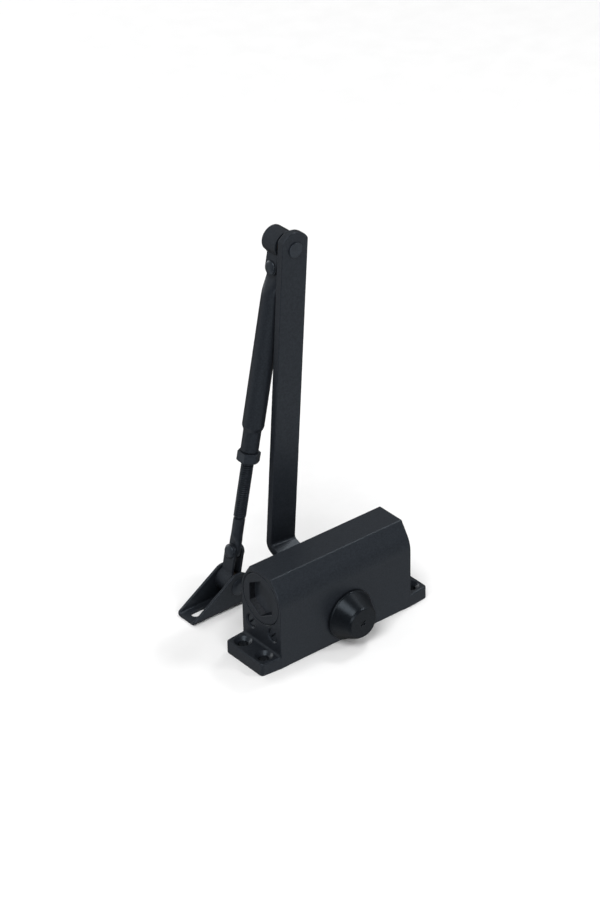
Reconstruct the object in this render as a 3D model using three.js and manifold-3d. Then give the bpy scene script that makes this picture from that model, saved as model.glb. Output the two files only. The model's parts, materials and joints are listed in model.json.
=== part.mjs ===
// A rack-and-pinion door closer with its folding arm standing up beside it.
// Units are millimetres and +Z is up. The origin is the centre of the housing's mounting face, X runs
// along the housing and Y is the axis of the pinion. The housing and the shoe both stand on z = 0.

import * as THREE from 'three';
import { mergeVertices } from 'three/addons/utils/BufferGeometryUtils.js';
import Module from 'manifold-3d';

const wasm = await Module();
wasm.setup();

// ---------------------------------------------------------------- driving dimensions

const HOUSING = { length: 104.4, width: 38, height: 60.8, ridgeWidth: 20.8 };
const FLANGE = { reach: 14.4, thickness: 8.7, taper: 1.3, corner: 2.4 };
const FIXING = { x: 59, y: 10.3, radius: 3.3, sinkRadius: 5.5, sinkDepth: 2.2 };

const BORE = { z: 42, radius: 16.5, counterRadius: 17.5, counterDepth: 9.4 };
const PLUG = { radius: 17.2, thickness: 9, chamfer: 0.6, hexFlats: 22, hexDepth: 4.2 };
const PLUG_GROOVE = { offset: 5.6, width: 2, radius: 15.4 };
const PLUG_SEAL = { radius: 16.35, section: 0.8 };

const VALVE = { y: 10.5, z: 20.4, holeRadius: 4.2, holeDepth: 13.5, passageRadius: 0.9 };
const VALVE_SCREW = { radius: 3.9, recess: 1.2, length: 8.5, tipLength: 3, tipRadius: 1.6, chamfer: 0.3 };
const VALVE_SLOT = { width: 1.2, depth: 1.5, angle: Math.PI / 4 };
const VALVE_GROOVE = { offset: 6.2, width: 1.5, radius: 3 };
const VALVE_SEAL = { radius: 3.55, section: 0.42 };

const PINION = { x: 1.6, z: 17, teeth: 13, module: 1.75, shift: 0.3, faceWidth: 14, tipRadius: 13.5 };
const PRESSURE_ANGLE = THREE.MathUtils.degToRad(25);
const BACKLASH = 0.1;
const SHAFT = { radius: 8, halfLength: 19.4, flats: 9, armEnd: 25.1, capEnd: 29, screwHole: 3.1,
  screwDepth: 14 };
const CHAMBER_RADIUS = 14.2;
const RETAINER = { radius: 13.9, inner: 12.7, outer: 18.7, waist: 9.2 };
const KEYHOLE = { radius: 0.9, depth: 1.8, distance: 12.1 };
const BEARING = { inner: 8.15, outer: 10.9, from: 12.9, to: 15.9 };
const SEAL = { inner: 8.15, outer: 10.2, from: 16.8, to: 18.5 };
const THRUST_WASHER = { inner: 8.2, outer: 10.1, from: 7.3, to: 8.9 };

const PISTON = { radius: 16.3, from: -40, to: 17, rackFrom: -33.5, rackTo: 12.5, chamfer: 0.8 };
const SPRING_POCKET = { radius: 9.6, from: -30 };
const SPRING = { radius: 7.6, wire: 1.6, from: -28.1, to: 41.3, turns: 9 };
const CHECK_VALVE = { radius: 3.8, length: 5.6, port: 1.1 };

const CAP = { rim: 16.8, wall: 19.4, rimDepth: 1.5, face: 33, faceRadius: 9.2, shoulder: 11.1, skin: 1.8 };
const CAP_HUB = { radius: 7.6, mouth: 21 };
const CAP_CROSS = { length: 4.2, width: 1, depth: 0.9 };

const ARM = { width: 19.6, thickness: 5, length: 222, endRadius: 11.3,
  tilt: THREE.MathUtils.degToRad(4.35) };
const ARM_CRANK = { hubFace: 20.3, upperFace: 47.3, hubCorner: 11.5, upperCorner: 20.2, bendRadius: 2.5 };
const ARM_WASHER = { radius: 6.4, from: 25.6, to: 27 };
const ARM_SCREW = { head: 5, shank: 2.9, from: 12.5, seat: 27.2, to: 30.9, socketFlats: 5,
  socketDepth: 2.2 };

const CHAIN_Y = 61.5;
const ELBOW = { drum: 8.6, strip: 2.2, near: 5.3, far: 7.6, earHalfWidth: 5.3, earInner: 3, earOuter: 5 };
const ELBOW_PIN = { radius: 4, head: 4.85, headDepth: 0.9, farHead: 5.6, farDepth: 1 };
const ELBOW_SPACER_RADIUS = 6.6;
const ELBOW_CROSS = 16.1;
const FOREARM_TILT = THREE.MathUtils.degToRad(11.97);
const TUBE = { radius: 7, bore: 5.4, flatHalf: 2.8, flatWidth: 6.5, flatEnd: 24, roundFrom: 34 };
const TUBE_NECK = { shoulder: 121.4, from: 124.4, radius: 5.7, bore: 4.25, to: 138.4 };
const NUT = { flats: 13, from: 138.8, to: 145.3, bore: 4.2, chamfer: 0.9 };
const ROD = {
  radius: 4, from: 108, threadEnd: 184.9, shank: 3.6, chamfer: 0.8,
  flatFrom: 198, flatHalf: 2, flatWidth: 4.7, taper: 3, spread: 5,
};

const SHOE_PIVOT = 228.7;
const SHOE_CROSS = 208;
const SHOE_KNUCKLE = { drum: 8.1, strip: 1.8, near: 6.4, far: 5.3, earHalfWidth: 5, earInner: 2.2,
  earOuter: 4 };
const SHOE = {
  tip: -65.3, end: -6, near: 9.6, far: 8.1, sheet: 1.9, lobe: 9.2, tipHeight: 2.9, tipStep: 1.2,
  backEdge: 8.4,
  tipCorner: 3, endCorner: 4, tallerThan: 40,
};
const SHOE_Y = CHAIN_Y + (SHOE.far - SHOE.near) / 2;
const SHOE_SLOT = { from: -60.6, to: -47.4, halfWidth: 3.05 };
const SHOE_HOLE = { x: -12.6, radius: 3.2 };
const SHOE_PIN = { radius: 4.2, head: 6, headDepth: 1.2, farHead: 5.8 };
const CROSS_RIVET = { radius: 2.6, head: 4.4, dome: 1.6 };

const CLEARANCE = 0.15;
const LOOSE = 0.2;
const HEAD_GAP = 0.12;
const END_GAP = 0.3;
const SCREW_CHAMFER = 0.6;
const RIM_CHAMFER = 0.5;
const BEYOND = 1;
const WIDE_ROUND = 40;
const ROUND = 28;
const PASSAGE_DROP = 8;
const SMALL_ROUND = 18;
const TUBE_ROUND = 32;
const PASSAGE_ROUND = 12;
const TINY_ROUND = 10;
const END_STEPS = 12;
const EAR_STEPS = 10;
const TONGUE_STEPS = 14;
const COIL_STEPS = 14;

// ---------------------------------------------------------------- materials

const finish = (color, roughness, metalness) => new THREE.MeshStandardMaterial({ color, roughness,
  metalness });
const BLACK_PAINT = finish(0x17191d, 0.55, 0.1);
const BLACK_PLASTIC = finish(0x15171a, 0.4, 0);
const BLACK_STEEL = finish(0x1a1c1f, 0.45, 0.6);
const STEEL = finish(0x8d9094, 0.35, 0.9);
const SPRING_STEEL = finish(0x5c5f63, 0.4, 0.9);
const BRASS = finish(0xb08d4a, 0.35, 0.9);
const BRONZE = finish(0x9a6f43, 0.45, 0.9);
const RUBBER = finish(0x101010, 0.85, 0);

// ---------------------------------------------------------------- geometry helpers

/** A closed three.js geometry as a manifold solid. */
function solid(geometry) {
  const bare = geometry.index ? geometry.toNonIndexed() : geometry.clone();
  bare.deleteAttribute('normal');
  bare.deleteAttribute('uv');
  const merged = mergeVertices(bare, 1e-4);
  const corners = merged.index.array;
  const kept = [];
  for (let i = 0; i < corners.length; i += 3) {
    const [a, b, c] = corners.slice(i, i + 3);
    if (a !== b && b !== c && c !== a) kept.push(a, b, c);
  }
  return new wasm.Manifold(new wasm.Mesh({
    numProp: 3,
    vertProperties: new Float32Array(merged.attributes.position.array),
    triVerts: new Uint32Array(kept),
  }));
}

/** The solid left after the tools are cut from it. */
const cut = (body, ...tools) => tools.reduce((rest, tool) => rest.subtract(tool), body);

/** One solid made of all the given ones. */
const join = (...bodies) => bodies.reduce((whole, body) => whole.add(body));

/** A named mesh of a solid. */
function part(name, body, material) {
  const mesh = body.getMesh();
  const geometry = new THREE.BufferGeometry();
  geometry.setAttribute('position', new THREE.BufferAttribute(mesh.vertProperties, 3));
  geometry.setIndex(new THREE.BufferAttribute(mesh.triVerts, 1));
  geometry.computeVertexNormals();
  const result = new THREE.Mesh(geometry, material);
  result.name = name;
  return result;
}

/** Twice the signed area of a closed outline of [x, y] points. */
function signedArea(points) {
  return points.reduce((sum, [x, y], i) => {
    const [nextX, nextY] = points[(i + 1) % points.length];
    return sum + x * nextY - nextX * y;
  }, 0);
}

/** Points on an arc, both ends included. */
function arc(centreX, centreY, radius, from, to, steps) {
  return Array.from({ length: steps + 1 }, (_, i) => {
    const angle = from + (to - from) * i / steps;
    return [centreX + radius * Math.cos(angle), centreY + radius * Math.sin(angle)];
  });
}

/** An outline whose corners [x, y, radius] are rounded. */
function rounded(corners, steps = 5) {
  return corners.flatMap(([x, y, radius = 0], i) => {
    if (!radius) return [[x, y]];
    const corner = new THREE.Vector2(x, y);
    const before = new THREE.Vector2(...corners.at(i - 1).slice(0, 2)).sub(corner).normalize();
    const after = new THREE.Vector2(...corners[(i + 1) % corners.length].slice(0, 2))
      .sub(corner).normalize();
    const half = Math.acos(THREE.MathUtils.clamp(before.dot(after), -1, 1)) / 2;
    const centre = before.clone().add(after).normalize().multiplyScalar(radius / Math.sin(half)).add(corner);
    const start = before.multiplyScalar(radius / Math.tan(half)).add(corner).sub(centre).angle();
    const end = after.multiplyScalar(radius / Math.tan(half)).add(corner).sub(centre).angle();
    const turn = THREE.MathUtils.euclideanModulo(end - start + Math.PI, 2 * Math.PI) - Math.PI;
    return arc(centre.x, centre.y, radius, start, start + turn, steps);
  });
}

/** A regular hexagon with flats that face the first axis. */
function hexagon(flats) {
  return Array.from({ length: 6 }, (_, i) => {
    const angle = Math.PI / 6 + i * Math.PI / 3;
    return [flats / Math.sqrt(3) * Math.cos(angle), flats / Math.sqrt(3) * Math.sin(angle)];
  });
}

/** A square with sides along the axes. */
const square = (flats) => [[-1, -1], [1, -1], [1, 1], [-1, 1]]
  .map(([x, y]) => [x * flats / 2, y * flats / 2]);

const moved = (outline, x, y) => outline.map(([px, py]) => [px + x, py + y]);

function extruded(outline, depth) {
  const shape = new THREE.Shape(outline.map(([x, y]) => new THREE.Vector2(x, y)));
  return new THREE.ExtrudeGeometry(shape, { depth, bevelEnabled: false });
}

const AXES = {
  x: [new THREE.Vector3(0, 1, 0), new THREE.Vector3(0, 0, 1), new THREE.Vector3(1, 0, 0)],
  y: [new THREE.Vector3(0, 0, 1), new THREE.Vector3(1, 0, 0), new THREE.Vector3(0, 1, 0)],
  z: [new THREE.Vector3(1, 0, 0), new THREE.Vector3(0, 1, 0), new THREE.Vector3(0, 0, 1)],
};

/** A plate between two places on an axis. Its outline is in (y, z), (z, x) or (x, y) for axis x, y or z. */
function plate(axis, outline, from, to) {
  const geometry = extruded(outline, to - from).translate(0, 0, from);
  return solid(geometry.applyMatrix4(new THREE.Matrix4().makeBasis(...AXES[axis])));
}

/** A plate across Y whose outline is in (x, z). */
const upright = (outline, from, to) => plate('y', outline.map(([x, z]) => [z, x]).reverse(), from, to);

/** A turned solid. The profile has [radius, along axis] points, and touches the axis or closes on itself. */
function turned(axis, profile, centre = [0, 0, 0], segments = ROUND) {
  const onAxis = profile[0][0] === 0;
  const ordered = signedArea(profile) > 0 ? profile : [...profile].reverse();
  const closed = onAxis ? ordered : [...ordered, ordered[0]];
  const geometry = new THREE.LatheGeometry(closed.map(([r, along]) => new THREE.Vector2(r, along)),
    segments);
  if (axis === 'x') geometry.rotateZ(-Math.PI / 2);
  if (axis === 'z') geometry.rotateX(Math.PI / 2);
  return solid(geometry.translate(...centre));
}

/** A plain cylinder between two places on an axis. */
function bar(axis, radius, from, to, centre, segments) {
  return turned(axis, [[0, from], [radius, from], [radius, to], [0, to]], centre, segments);
}

/** A plain ring between two places on an axis. */
function ring(axis, inner, outer, from, to, centre, segments) {
  return turned(axis, [[inner, from], [outer, from], [outer, to], [inner, to]], centre, segments);
}

/** A round seal of circular section. */
function roundSeal(axis, radius, section, at, centre, segments) {
  const profile = arc(radius, at, section, 0, 2 * Math.PI, 8).slice(0, -1);
  return turned(axis, profile, centre, segments);
}

/** The same profile on the other side of the plane through the origin. */
const mirrored = (profile) => profile.map(([radius, along]) => [radius, -along]);

// ---------------------------------------------------------------- housing

const halfLength = HOUSING.length / 2;
const halfWidth = HOUSING.width / 2;

/** The housing's section in (y, z): upright walls, an arc about the bore, then a tangent up to the ridge. */
function housingSection() {
  const ridgeAngle = Math.atan2(HOUSING.height - BORE.z, HOUSING.ridgeWidth / 2);
  const ridgeReach = Math.hypot(HOUSING.height - BORE.z, HOUSING.ridgeWidth / 2);
  const sweep = ridgeAngle - Math.acos(halfWidth / ridgeReach);
  const right = arc(0, BORE.z, halfWidth, 0, sweep, 8);
  const left = right.map(([y, z]) => [-y, z]).reverse();
  return [
    [halfWidth, 0], ...right, [HOUSING.ridgeWidth / 2, HOUSING.height],
    [-HOUSING.ridgeWidth / 2, HOUSING.height], ...left, [-halfWidth, 0],
  ];
}

/** The outline in (x, y) of both fixing flanges and the foot between them. */
function footOutline() {
  const tip = halfLength + FLANGE.reach;
  const tipHalf = halfWidth - FLANGE.taper;
  const corners = [
    [halfLength, -halfWidth], [tip, -tipHalf, FLANGE.corner], [tip, tipHalf, FLANGE.corner],
    [halfLength, halfWidth],
  ];
  return rounded([...corners, ...corners.map(([x, y, r]) => [-x, -y, r])]);
}

function fixingHole(x, y) {
  const top = FLANGE.thickness;
  return turned('z', [
    [0, -1], [FIXING.radius, -1], [FIXING.radius, top - FIXING.sinkDepth],
    [FIXING.sinkRadius, top], [FIXING.sinkRadius, top + 1], [0, top + 1],
  ], [x, y, 0], SMALL_ROUND);
}

function valveHole(side) {
  const bottom = -halfLength + VALVE.holeDepth;
  const hole = turned('x', [
    [0, -halfLength - 1], [VALVE.holeRadius, -halfLength - 1],
    [VALVE.holeRadius, bottom - 2], [VALVE.passageRadius, bottom], [0, bottom],
  ], [0, side * VALVE.y, VALVE.z], SMALL_ROUND);
  const passageX = -halfLength + BORE.counterDepth + 1.4;
  const passage = bar('z', VALVE.passageRadius, VALVE.z, BORE.z - PASSAGE_DROP,
    [passageX, side * VALVE.y, 0], PASSAGE_ROUND);
  return join(hole, passage);
}

function housingCasting() {
  const block = plate('x', housingSection(), -halfLength, halfLength);
  const foot = plate('z', footOutline(), 0, FLANGE.thickness);
  const bore = bar('x', BORE.radius, -halfLength - 1, halfLength + 1, [0, 0, BORE.z], WIDE_ROUND);
  const counterbores = [-1, 1].map((side) => {
    const ends = [side * (halfLength - BORE.counterDepth), side * (halfLength + 1)].sort((a, b) => a - b);
    return bar('x', BORE.counterRadius, ...ends, [0, 0, BORE.z], WIDE_ROUND);
  });
  const chamber = bar('y', CHAMBER_RADIUS, -halfWidth - 1, halfWidth + 1, [PINION.x, 0, PINION.z],
    WIDE_ROUND);
  const holes = [-1, 1].flatMap((a) => [-1, 1].map((b) => fixingHole(a * FIXING.x, b * FIXING.y)));
  return cut(join(block, foot), bore, ...counterbores, chamber, ...holes, valveHole(-1), valveHole(1));
}

/** An end plug with a hexagon socket in its outer face and a seal groove round it. */
function endPlug(side) {
  const face = halfLength;
  const back = halfLength - PLUG.thickness;
  const grooveFrom = halfLength - PLUG_GROOVE.offset - PLUG_GROOVE.width / 2;
  const profile = [
    [0, back], [PLUG.radius, back], [PLUG.radius, grooveFrom], [PLUG_GROOVE.radius, grooveFrom],
    [PLUG_GROOVE.radius, grooveFrom + PLUG_GROOVE.width], [PLUG.radius, grooveFrom + PLUG_GROOVE.width],
    [PLUG.radius, face - PLUG.chamfer], [PLUG.radius - PLUG.chamfer, face], [0, face],
  ];
  const body = turned('x', side > 0 ? profile : mirrored(profile), [0, 0, BORE.z], WIDE_ROUND);
  const ends = [side * (face - PLUG.hexDepth), side * (face + 1)].sort((a, b) => a - b);
  return cut(body, plate('x', moved(hexagon(PLUG.hexFlats), 0, BORE.z), ...ends));
}

function plugSeal(side) {
  const at = side * (halfLength - PLUG_GROOVE.offset);
  return roundSeal('x', PLUG_SEAL.radius, PLUG_SEAL.section, at, [0, 0, BORE.z]);
}

/** An adjusting valve: a slotted screw with a tapered tip and a seal groove. */
function valveScrew(side) {
  const face = -halfLength + VALVE_SCREW.recess;
  const groove = -halfLength + VALVE_GROOVE.offset;
  const shoulder = face + VALVE_SCREW.length;
  const body = turned('x', [
    [0, face], [VALVE_SCREW.radius - VALVE_SCREW.chamfer, face],
    [VALVE_SCREW.radius, face + VALVE_SCREW.chamfer],
    [VALVE_SCREW.radius, groove - VALVE_GROOVE.width / 2],
    [VALVE_GROOVE.radius, groove - VALVE_GROOVE.width / 2],
    [VALVE_GROOVE.radius, groove + VALVE_GROOVE.width / 2],
    [VALVE_SCREW.radius, groove + VALVE_GROOVE.width / 2],
    [VALVE_SCREW.radius, shoulder - 1], [VALVE_SCREW.tipRadius, shoulder],
    [VALVE_SCREW.tipRadius / 2, shoulder + VALVE_SCREW.tipLength - 1.5],
    [0, shoulder + VALVE_SCREW.tipLength - 1],
  ], [0, side * VALVE.y, VALVE.z], SMALL_ROUND);
  const slot = new THREE.BoxGeometry(2 * VALVE_SLOT.depth, VALVE_SLOT.width, 3 * VALVE_SCREW.radius);
  slot.rotateX(VALVE_SLOT.angle).translate(face, side * VALVE.y, VALVE.z);
  return cut(body, solid(slot));
}

function valveSeal(side) {
  const at = -halfLength + VALVE_GROOVE.offset;
  return roundSeal('x', VALVE_SEAL.radius, VALVE_SEAL.section, at, [0, side * VALVE.y, VALVE.z],
    SMALL_ROUND);
}

// ---------------------------------------------------------------- pinion, bearings and piston

const pitchRadius = PINION.module * PINION.teeth / 2;
const rackLine = PINION.z + pitchRadius + PINION.shift * PINION.module;

/** The pinion's outline in the arm's group: involute flanks, radial below the base circle, one tooth
 * upright. */
function pinionOutline() {
  const involute = (angle) => Math.tan(angle) - angle;
  const baseRadius = pitchRadius * Math.cos(PRESSURE_ANGLE);
  const rootRadius = pitchRadius - (1.25 - PINION.shift) * PINION.module;
  const thickness = PINION.module * (Math.PI / 2 + 2 * PINION.shift * Math.tan(PRESSURE_ANGLE)) - BACKLASH;
  const halfAngle = (radius) => {
    const along = involute(Math.acos(Math.min(1, baseRadius / Math.max(radius, baseRadius))));
    return thickness / (2 * pitchRadius) + involute(PRESSURE_ANGLE) - along;
  };
  const steps = 5;
  const flank = Array.from({ length: steps + 1 },
    (_, i) => baseRadius + (PINION.tipRadius - baseRadius) * i / steps);
  const radii = [rootRadius, ...flank];
  const middles = Array.from({ length: PINION.teeth }, (_, i) => i * 2 * Math.PI / PINION.teeth - ARM.tilt);
  return middles.flatMap((middle) => [
    ...radii.map((r) => [r * Math.cos(middle - halfAngle(r)), r * Math.sin(middle - halfAngle(r))]),
    ...radii.toReversed().map((r) => [r * Math.cos(middle + halfAngle(r)),
    r * Math.sin(middle + halfAngle(r))]),
  ]);
}

/** The pinion with its journals and square ends, about the Y axis of the arm's group. */
function pinionShaft() {
  const gear = plate('y', pinionOutline(), -PINION.faceWidth / 2, PINION.faceWidth / 2);
  const journal = bar('y', SHAFT.radius, -SHAFT.halfLength, SHAFT.halfLength);
  const squares = plate('y', square(SHAFT.flats), -SHAFT.capEnd, SHAFT.armEnd);
  const screwHole = bar('y', SHAFT.screwHole, SHAFT.armEnd - SHAFT.screwDepth, SHAFT.armEnd + 1,
    undefined, SMALL_ROUND);
  return cut(join(gear, journal, squares), screwHole);
}

const RETAINER_PROFILE = [
  [BEARING.outer + LOOSE, RETAINER.inner], [RETAINER.radius, RETAINER.inner],
  [RETAINER.radius, RETAINER.outer],
  [SEAL.outer + LOOSE, RETAINER.outer], [SEAL.outer + LOOSE, SEAL.from - LOOSE],
  [RETAINER.waist, SEAL.from - LOOSE],
  [RETAINER.waist, BEARING.to + LOOSE], [BEARING.outer + LOOSE, BEARING.to + LOOSE],
];

const pinionCentre = [PINION.x, 0, PINION.z];

/** A ring on the pinion's axis, on the side given by the sign. */
function pinionRing(side, { inner, outer, from, to }) {
  const profile = [[inner, from], [outer, from], [outer, to], [inner, to]];
  return turned('y', side > 0 ? profile : mirrored(profile), pinionCentre);
}

function retainer(side) {
  const body = turned('y', side > 0 ? RETAINER_PROFILE : mirrored(RETAINER_PROFILE), pinionCentre);
  const keyholes = [-1, 1].map((hand) => {
    const ends = [side * (RETAINER.outer - KEYHOLE.depth), side * (RETAINER.outer + BEYOND)]
      .sort((a, b) => a - b);
    return bar('y', KEYHOLE.radius, ...ends, [PINION.x + hand * KEYHOLE.distance, 0, PINION.z], TINY_ROUND);
  });
  return cut(body, ...keyholes);
}

/** What is cut from under the piston to leave the rack's teeth, in (x, z). */
function rackCutter() {
  const pitch = Math.PI * PINION.module;
  const halfTooth = pitch / 4 - BACKLASH / 2;
  const tip = rackLine - PINION.module;
  const root = rackLine + 1.25 * PINION.module;
  const halfTip = halfTooth - PINION.module * Math.tan(PRESSURE_ANGLE);
  const halfRoot = halfTooth + 1.25 * PINION.module * Math.tan(PRESSURE_ANGLE);
  const first = Math.ceil((PISTON.rackFrom - PINION.x) / pitch);
  const last = Math.floor((PISTON.rackTo - PINION.x) / pitch);
  const teeth = [];
  for (let i = first; i < last; i += 1) {
    const middle = PINION.x + (i + 0.5) * pitch;
    teeth.push([middle - halfRoot, root], [middle - halfTip, tip], [middle + halfTip, tip],
    [middle + halfRoot, root]);
  }
  return [[PISTON.rackFrom, 0], [PISTON.rackFrom, root], ...teeth, [PISTON.rackTo, root],
    [PISTON.rackTo, 0]];
}

function piston() {
  const valvePocket = PISTON.from + CHECK_VALVE.length + 2 * LOOSE;
  const body = turned('x', [
    [0, valvePocket], [CHECK_VALVE.radius + LOOSE, valvePocket], [CHECK_VALVE.radius + LOOSE, PISTON.from],
    [PISTON.radius - PISTON.chamfer, PISTON.from], [PISTON.radius, PISTON.from + PISTON.chamfer],
    [PISTON.radius, PISTON.to - PISTON.chamfer],
    [PISTON.radius - PISTON.chamfer, PISTON.to], [SPRING_POCKET.radius, PISTON.to],
    [SPRING_POCKET.radius, SPRING_POCKET.from], [0, SPRING_POCKET.from],
  ], [0, 0, BORE.z], WIDE_ROUND);
  return cut(body, upright(rackCutter(), -halfWidth, halfWidth));
}

function checkValve() {
  const face = PISTON.from + LOOSE;
  return turned('x', [
    [CHECK_VALVE.port, face], [CHECK_VALVE.radius, face], [CHECK_VALVE.radius, face + CHECK_VALVE.length],
    [CHECK_VALVE.port, face + CHECK_VALVE.length],
  ], [0, 0, BORE.z], SMALL_ROUND);
}

/** The centre line of the main spring. */
class SpringLine extends THREE.Curve {
  getPoint(t) {
    const angle = 2 * Math.PI * SPRING.turns * t;
    return new THREE.Vector3(
      THREE.MathUtils.lerp(SPRING.from, SPRING.to, t),
      SPRING.radius * Math.cos(angle),
      BORE.z + SPRING.radius * Math.sin(angle),
    );
  }
}

function mainSpring() {
  const section = arc(0, 0, SPRING.wire, 0, 2 * Math.PI, 6).slice(0, -1);
  const shape = new THREE.Shape(section.map(([x, y]) => new THREE.Vector2(x, y)));
  return solid(new THREE.ExtrudeGeometry(shape, {
    steps: SPRING.turns * COIL_STEPS,
    extrudePath: new SpringLine(),
    bevelEnabled: false,
  }));
}

/** The plastic cap over the shaft's unused square end. */
function spindleCap() {
  const innerFace = CAP.face - CAP.skin;
  const outer = turned('y', mirrored([
    [0, CAP.wall], [CAP.rim, CAP.wall], [CAP.rim, CAP.wall + CAP.rimDepth],
    [CAP.rim - RIM_CHAMFER, CAP.wall + CAP.rimDepth + 0.4],
    [CAP.shoulder, CAP.face - 1.6], [CAP.shoulder - 0.7, CAP.face - 0.6], [CAP.faceRadius, CAP.face],
    [0, CAP.face],
  ]));
  const hollow = turned('y', mirrored([
    [CAP_HUB.radius, CAP.wall - 1], [CAP.rim - CAP.skin, CAP.wall - 1],
    [CAP.rim - CAP.skin, CAP.wall + CAP.rimDepth],
    [CAP.shoulder - CAP.skin, innerFace - 1], [CAP_HUB.radius, innerFace - 1],
  ]));
  const mouth = bar('y', CAP_HUB.radius + 1, -CAP_HUB.mouth, -CAP.wall + 1);
  const socket = plate('y', square(SHAFT.flats + 0.4), -SHAFT.capEnd - 0.4, -CAP.wall + 1);
  const crossBars = [Math.PI / 4, -Math.PI / 4].map((angle) => {
    const slot = new THREE.BoxGeometry(CAP_CROSS.length, 2 * CAP_CROSS.depth, CAP_CROSS.width);
    return solid(slot.rotateY(angle).translate(0, -CAP.face, 0));
  });
  return cut(outer, hollow, mouth, socket, ...crossBars);
}

// ---------------------------------------------------------------- main arm

/** The cranked arm: its side section swept across its width, trimmed to its outline seen along Y. */
function mainArm() {
  const { hubFace, upperFace, hubCorner, upperCorner, bendRadius } = ARM_CRANK;
  const thickness = ARM.thickness;
  const outerRadius = bendRadius + thickness;
  const slope = Math.atan2(upperCorner - hubCorner, upperFace - hubFace);
  const drop = thickness * (1 / Math.cos(slope) - Math.tan(slope));
  const end = ARM.endRadius + 1;
  const side = rounded([
    [hubFace, -end], [hubFace + thickness, -end],
    [hubFace + thickness, hubCorner - drop, bendRadius],
    [upperFace + thickness, upperCorner - drop, outerRadius],
    [upperFace + thickness, ARM.length + end], [upperFace, ARM.length + end],
    [upperFace, upperCorner, bendRadius], [hubFace, hubCorner, outerRadius],
  ], 6);
  const half = ARM.width / 2;
  const corner = Math.acos(half / ARM.endRadius);
  const front = [
    ...arc(0, ARM.length, ARM.endRadius, corner, Math.PI - corner, END_STEPS),
    ...arc(0, 0, ARM.endRadius, Math.PI + corner, 2 * Math.PI - corner, END_STEPS),
  ];
  const blank = plate('x', side, -ARM.width, ARM.width).intersect(upright(front, 0, upperFace + 20));
  const squareHole = plate('y', square(SHAFT.flats + 2 * CLEARANCE), 0, hubFace + thickness + 1);
  const pinHole = bar('y', ELBOW_PIN.radius + CLEARANCE, upperFace - 1, upperFace + thickness + 1,
    [0, 0, ARM.length]);
  return cut(blank, squareHole, pinHole);
}

function armScrew() {
  const body = turned('y', [
    [0, ARM_SCREW.from], [ARM_SCREW.shank, ARM_SCREW.from + SCREW_CHAMFER],
    [ARM_SCREW.shank, ARM_SCREW.seat],
    [ARM_SCREW.head, ARM_SCREW.seat], [ARM_SCREW.head, ARM_SCREW.to - SCREW_CHAMFER],
    [ARM_SCREW.head - SCREW_CHAMFER, ARM_SCREW.to],
    [0, ARM_SCREW.to],
  ], undefined, SMALL_ROUND);
  return cut(body, plate('y', hexagon(ARM_SCREW.socketFlats), ARM_SCREW.to - ARM_SCREW.socketDepth,
    ARM_SCREW.to + 1));
}

/** The pin riveted through the arm, which carries the elbow's knuckle. */
function elbowRivet() {
  const face = ARM_CRANK.upperFace - CLEARANCE;
  const far = CHAIN_Y + ELBOW.far + CLEARANCE;
  return turned('y', [
    [0, face - ELBOW_PIN.headDepth], [ELBOW_PIN.head - RIM_CHAMFER, face - ELBOW_PIN.headDepth],
    [ELBOW_PIN.head, face - ELBOW_PIN.headDepth + 0.4], [ELBOW_PIN.head, face], [ELBOW_PIN.radius, face],
    [ELBOW_PIN.radius, far], [ELBOW_PIN.farHead, far],
    [ELBOW_PIN.farHead - SCREW_CHAMFER, far + ELBOW_PIN.farDepth],
    [0, far + ELBOW_PIN.farDepth],
  ], [0, 0, ARM.length]);
}

// ---------------------------------------------------------------- elbow, forearm and rod
// These are about the forearm's own axis: its origin is the elbow pin and its -Z runs down to the shoe.

/** A strip wrapped round a drum, whose two ends stand side by side as ears and take a cross rivet. */
function knuckle(shape, rivetZ, drumZ) {
  const up = Math.sign(rivetZ - drumZ);
  const drum = bar('y', shape.drum, CHAIN_Y - shape.near, CHAIN_Y + shape.far, [0, 0, drumZ]);
  const round = arc(CHAIN_Y, rivetZ, shape.earHalfWidth, 0, up * Math.PI, EAR_STEPS);
  const root = [[CHAIN_Y - shape.earHalfWidth, drumZ], [CHAIN_Y + shape.earHalfWidth, drumZ]];
  const earOutline = up > 0 ? [...round, ...root] : [...round, ...root].reverse();
  const ears = plate('x', earOutline, -shape.earOuter, shape.earOuter);
  const gapEnds = [drumZ, rivetZ + up * 2 * shape.earHalfWidth].sort((a, b) => a - b);
  const wide = shape.near + shape.far;
  const gap = plate('z', [
    [-shape.earInner, CHAIN_Y - wide], [shape.earInner, CHAIN_Y - wide],
    [shape.earInner, CHAIN_Y + wide], [-shape.earInner, CHAIN_Y + wide],
  ], ...gapEnds);
  const hole = bar('y', shape.drum - shape.strip, CHAIN_Y - wide, CHAIN_Y + wide, [0, 0, drumZ]);
  const rivetHole = bar('x', CROSS_RIVET.radius + CLEARANCE, -20, 20, [0, CHAIN_Y, rivetZ], SMALL_ROUND);
  return cut(join(drum, ears), gap, hole, rivetHole);
}

/** A rivet across a pair of ears, with a domed head on each side. */
function crossRivet(earOuter, rivetZ) {
  const seat = earOuter + HEAD_GAP;
  const dome = arc(0, 0, 1, 0, Math.PI / 2, 5)
    .map(([x, y]) => [CROSS_RIVET.head * x, seat + CROSS_RIVET.dome * y]);
  const head = dome.slice(0, -1).concat([[0, seat + CROSS_RIVET.dome]]);
  const half = [[CROSS_RIVET.radius, seat], ...head];
  return turned('x', [...mirrored(half).reverse(), ...half], [0, CHAIN_Y, rivetZ], SMALL_ROUND);
}

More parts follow.
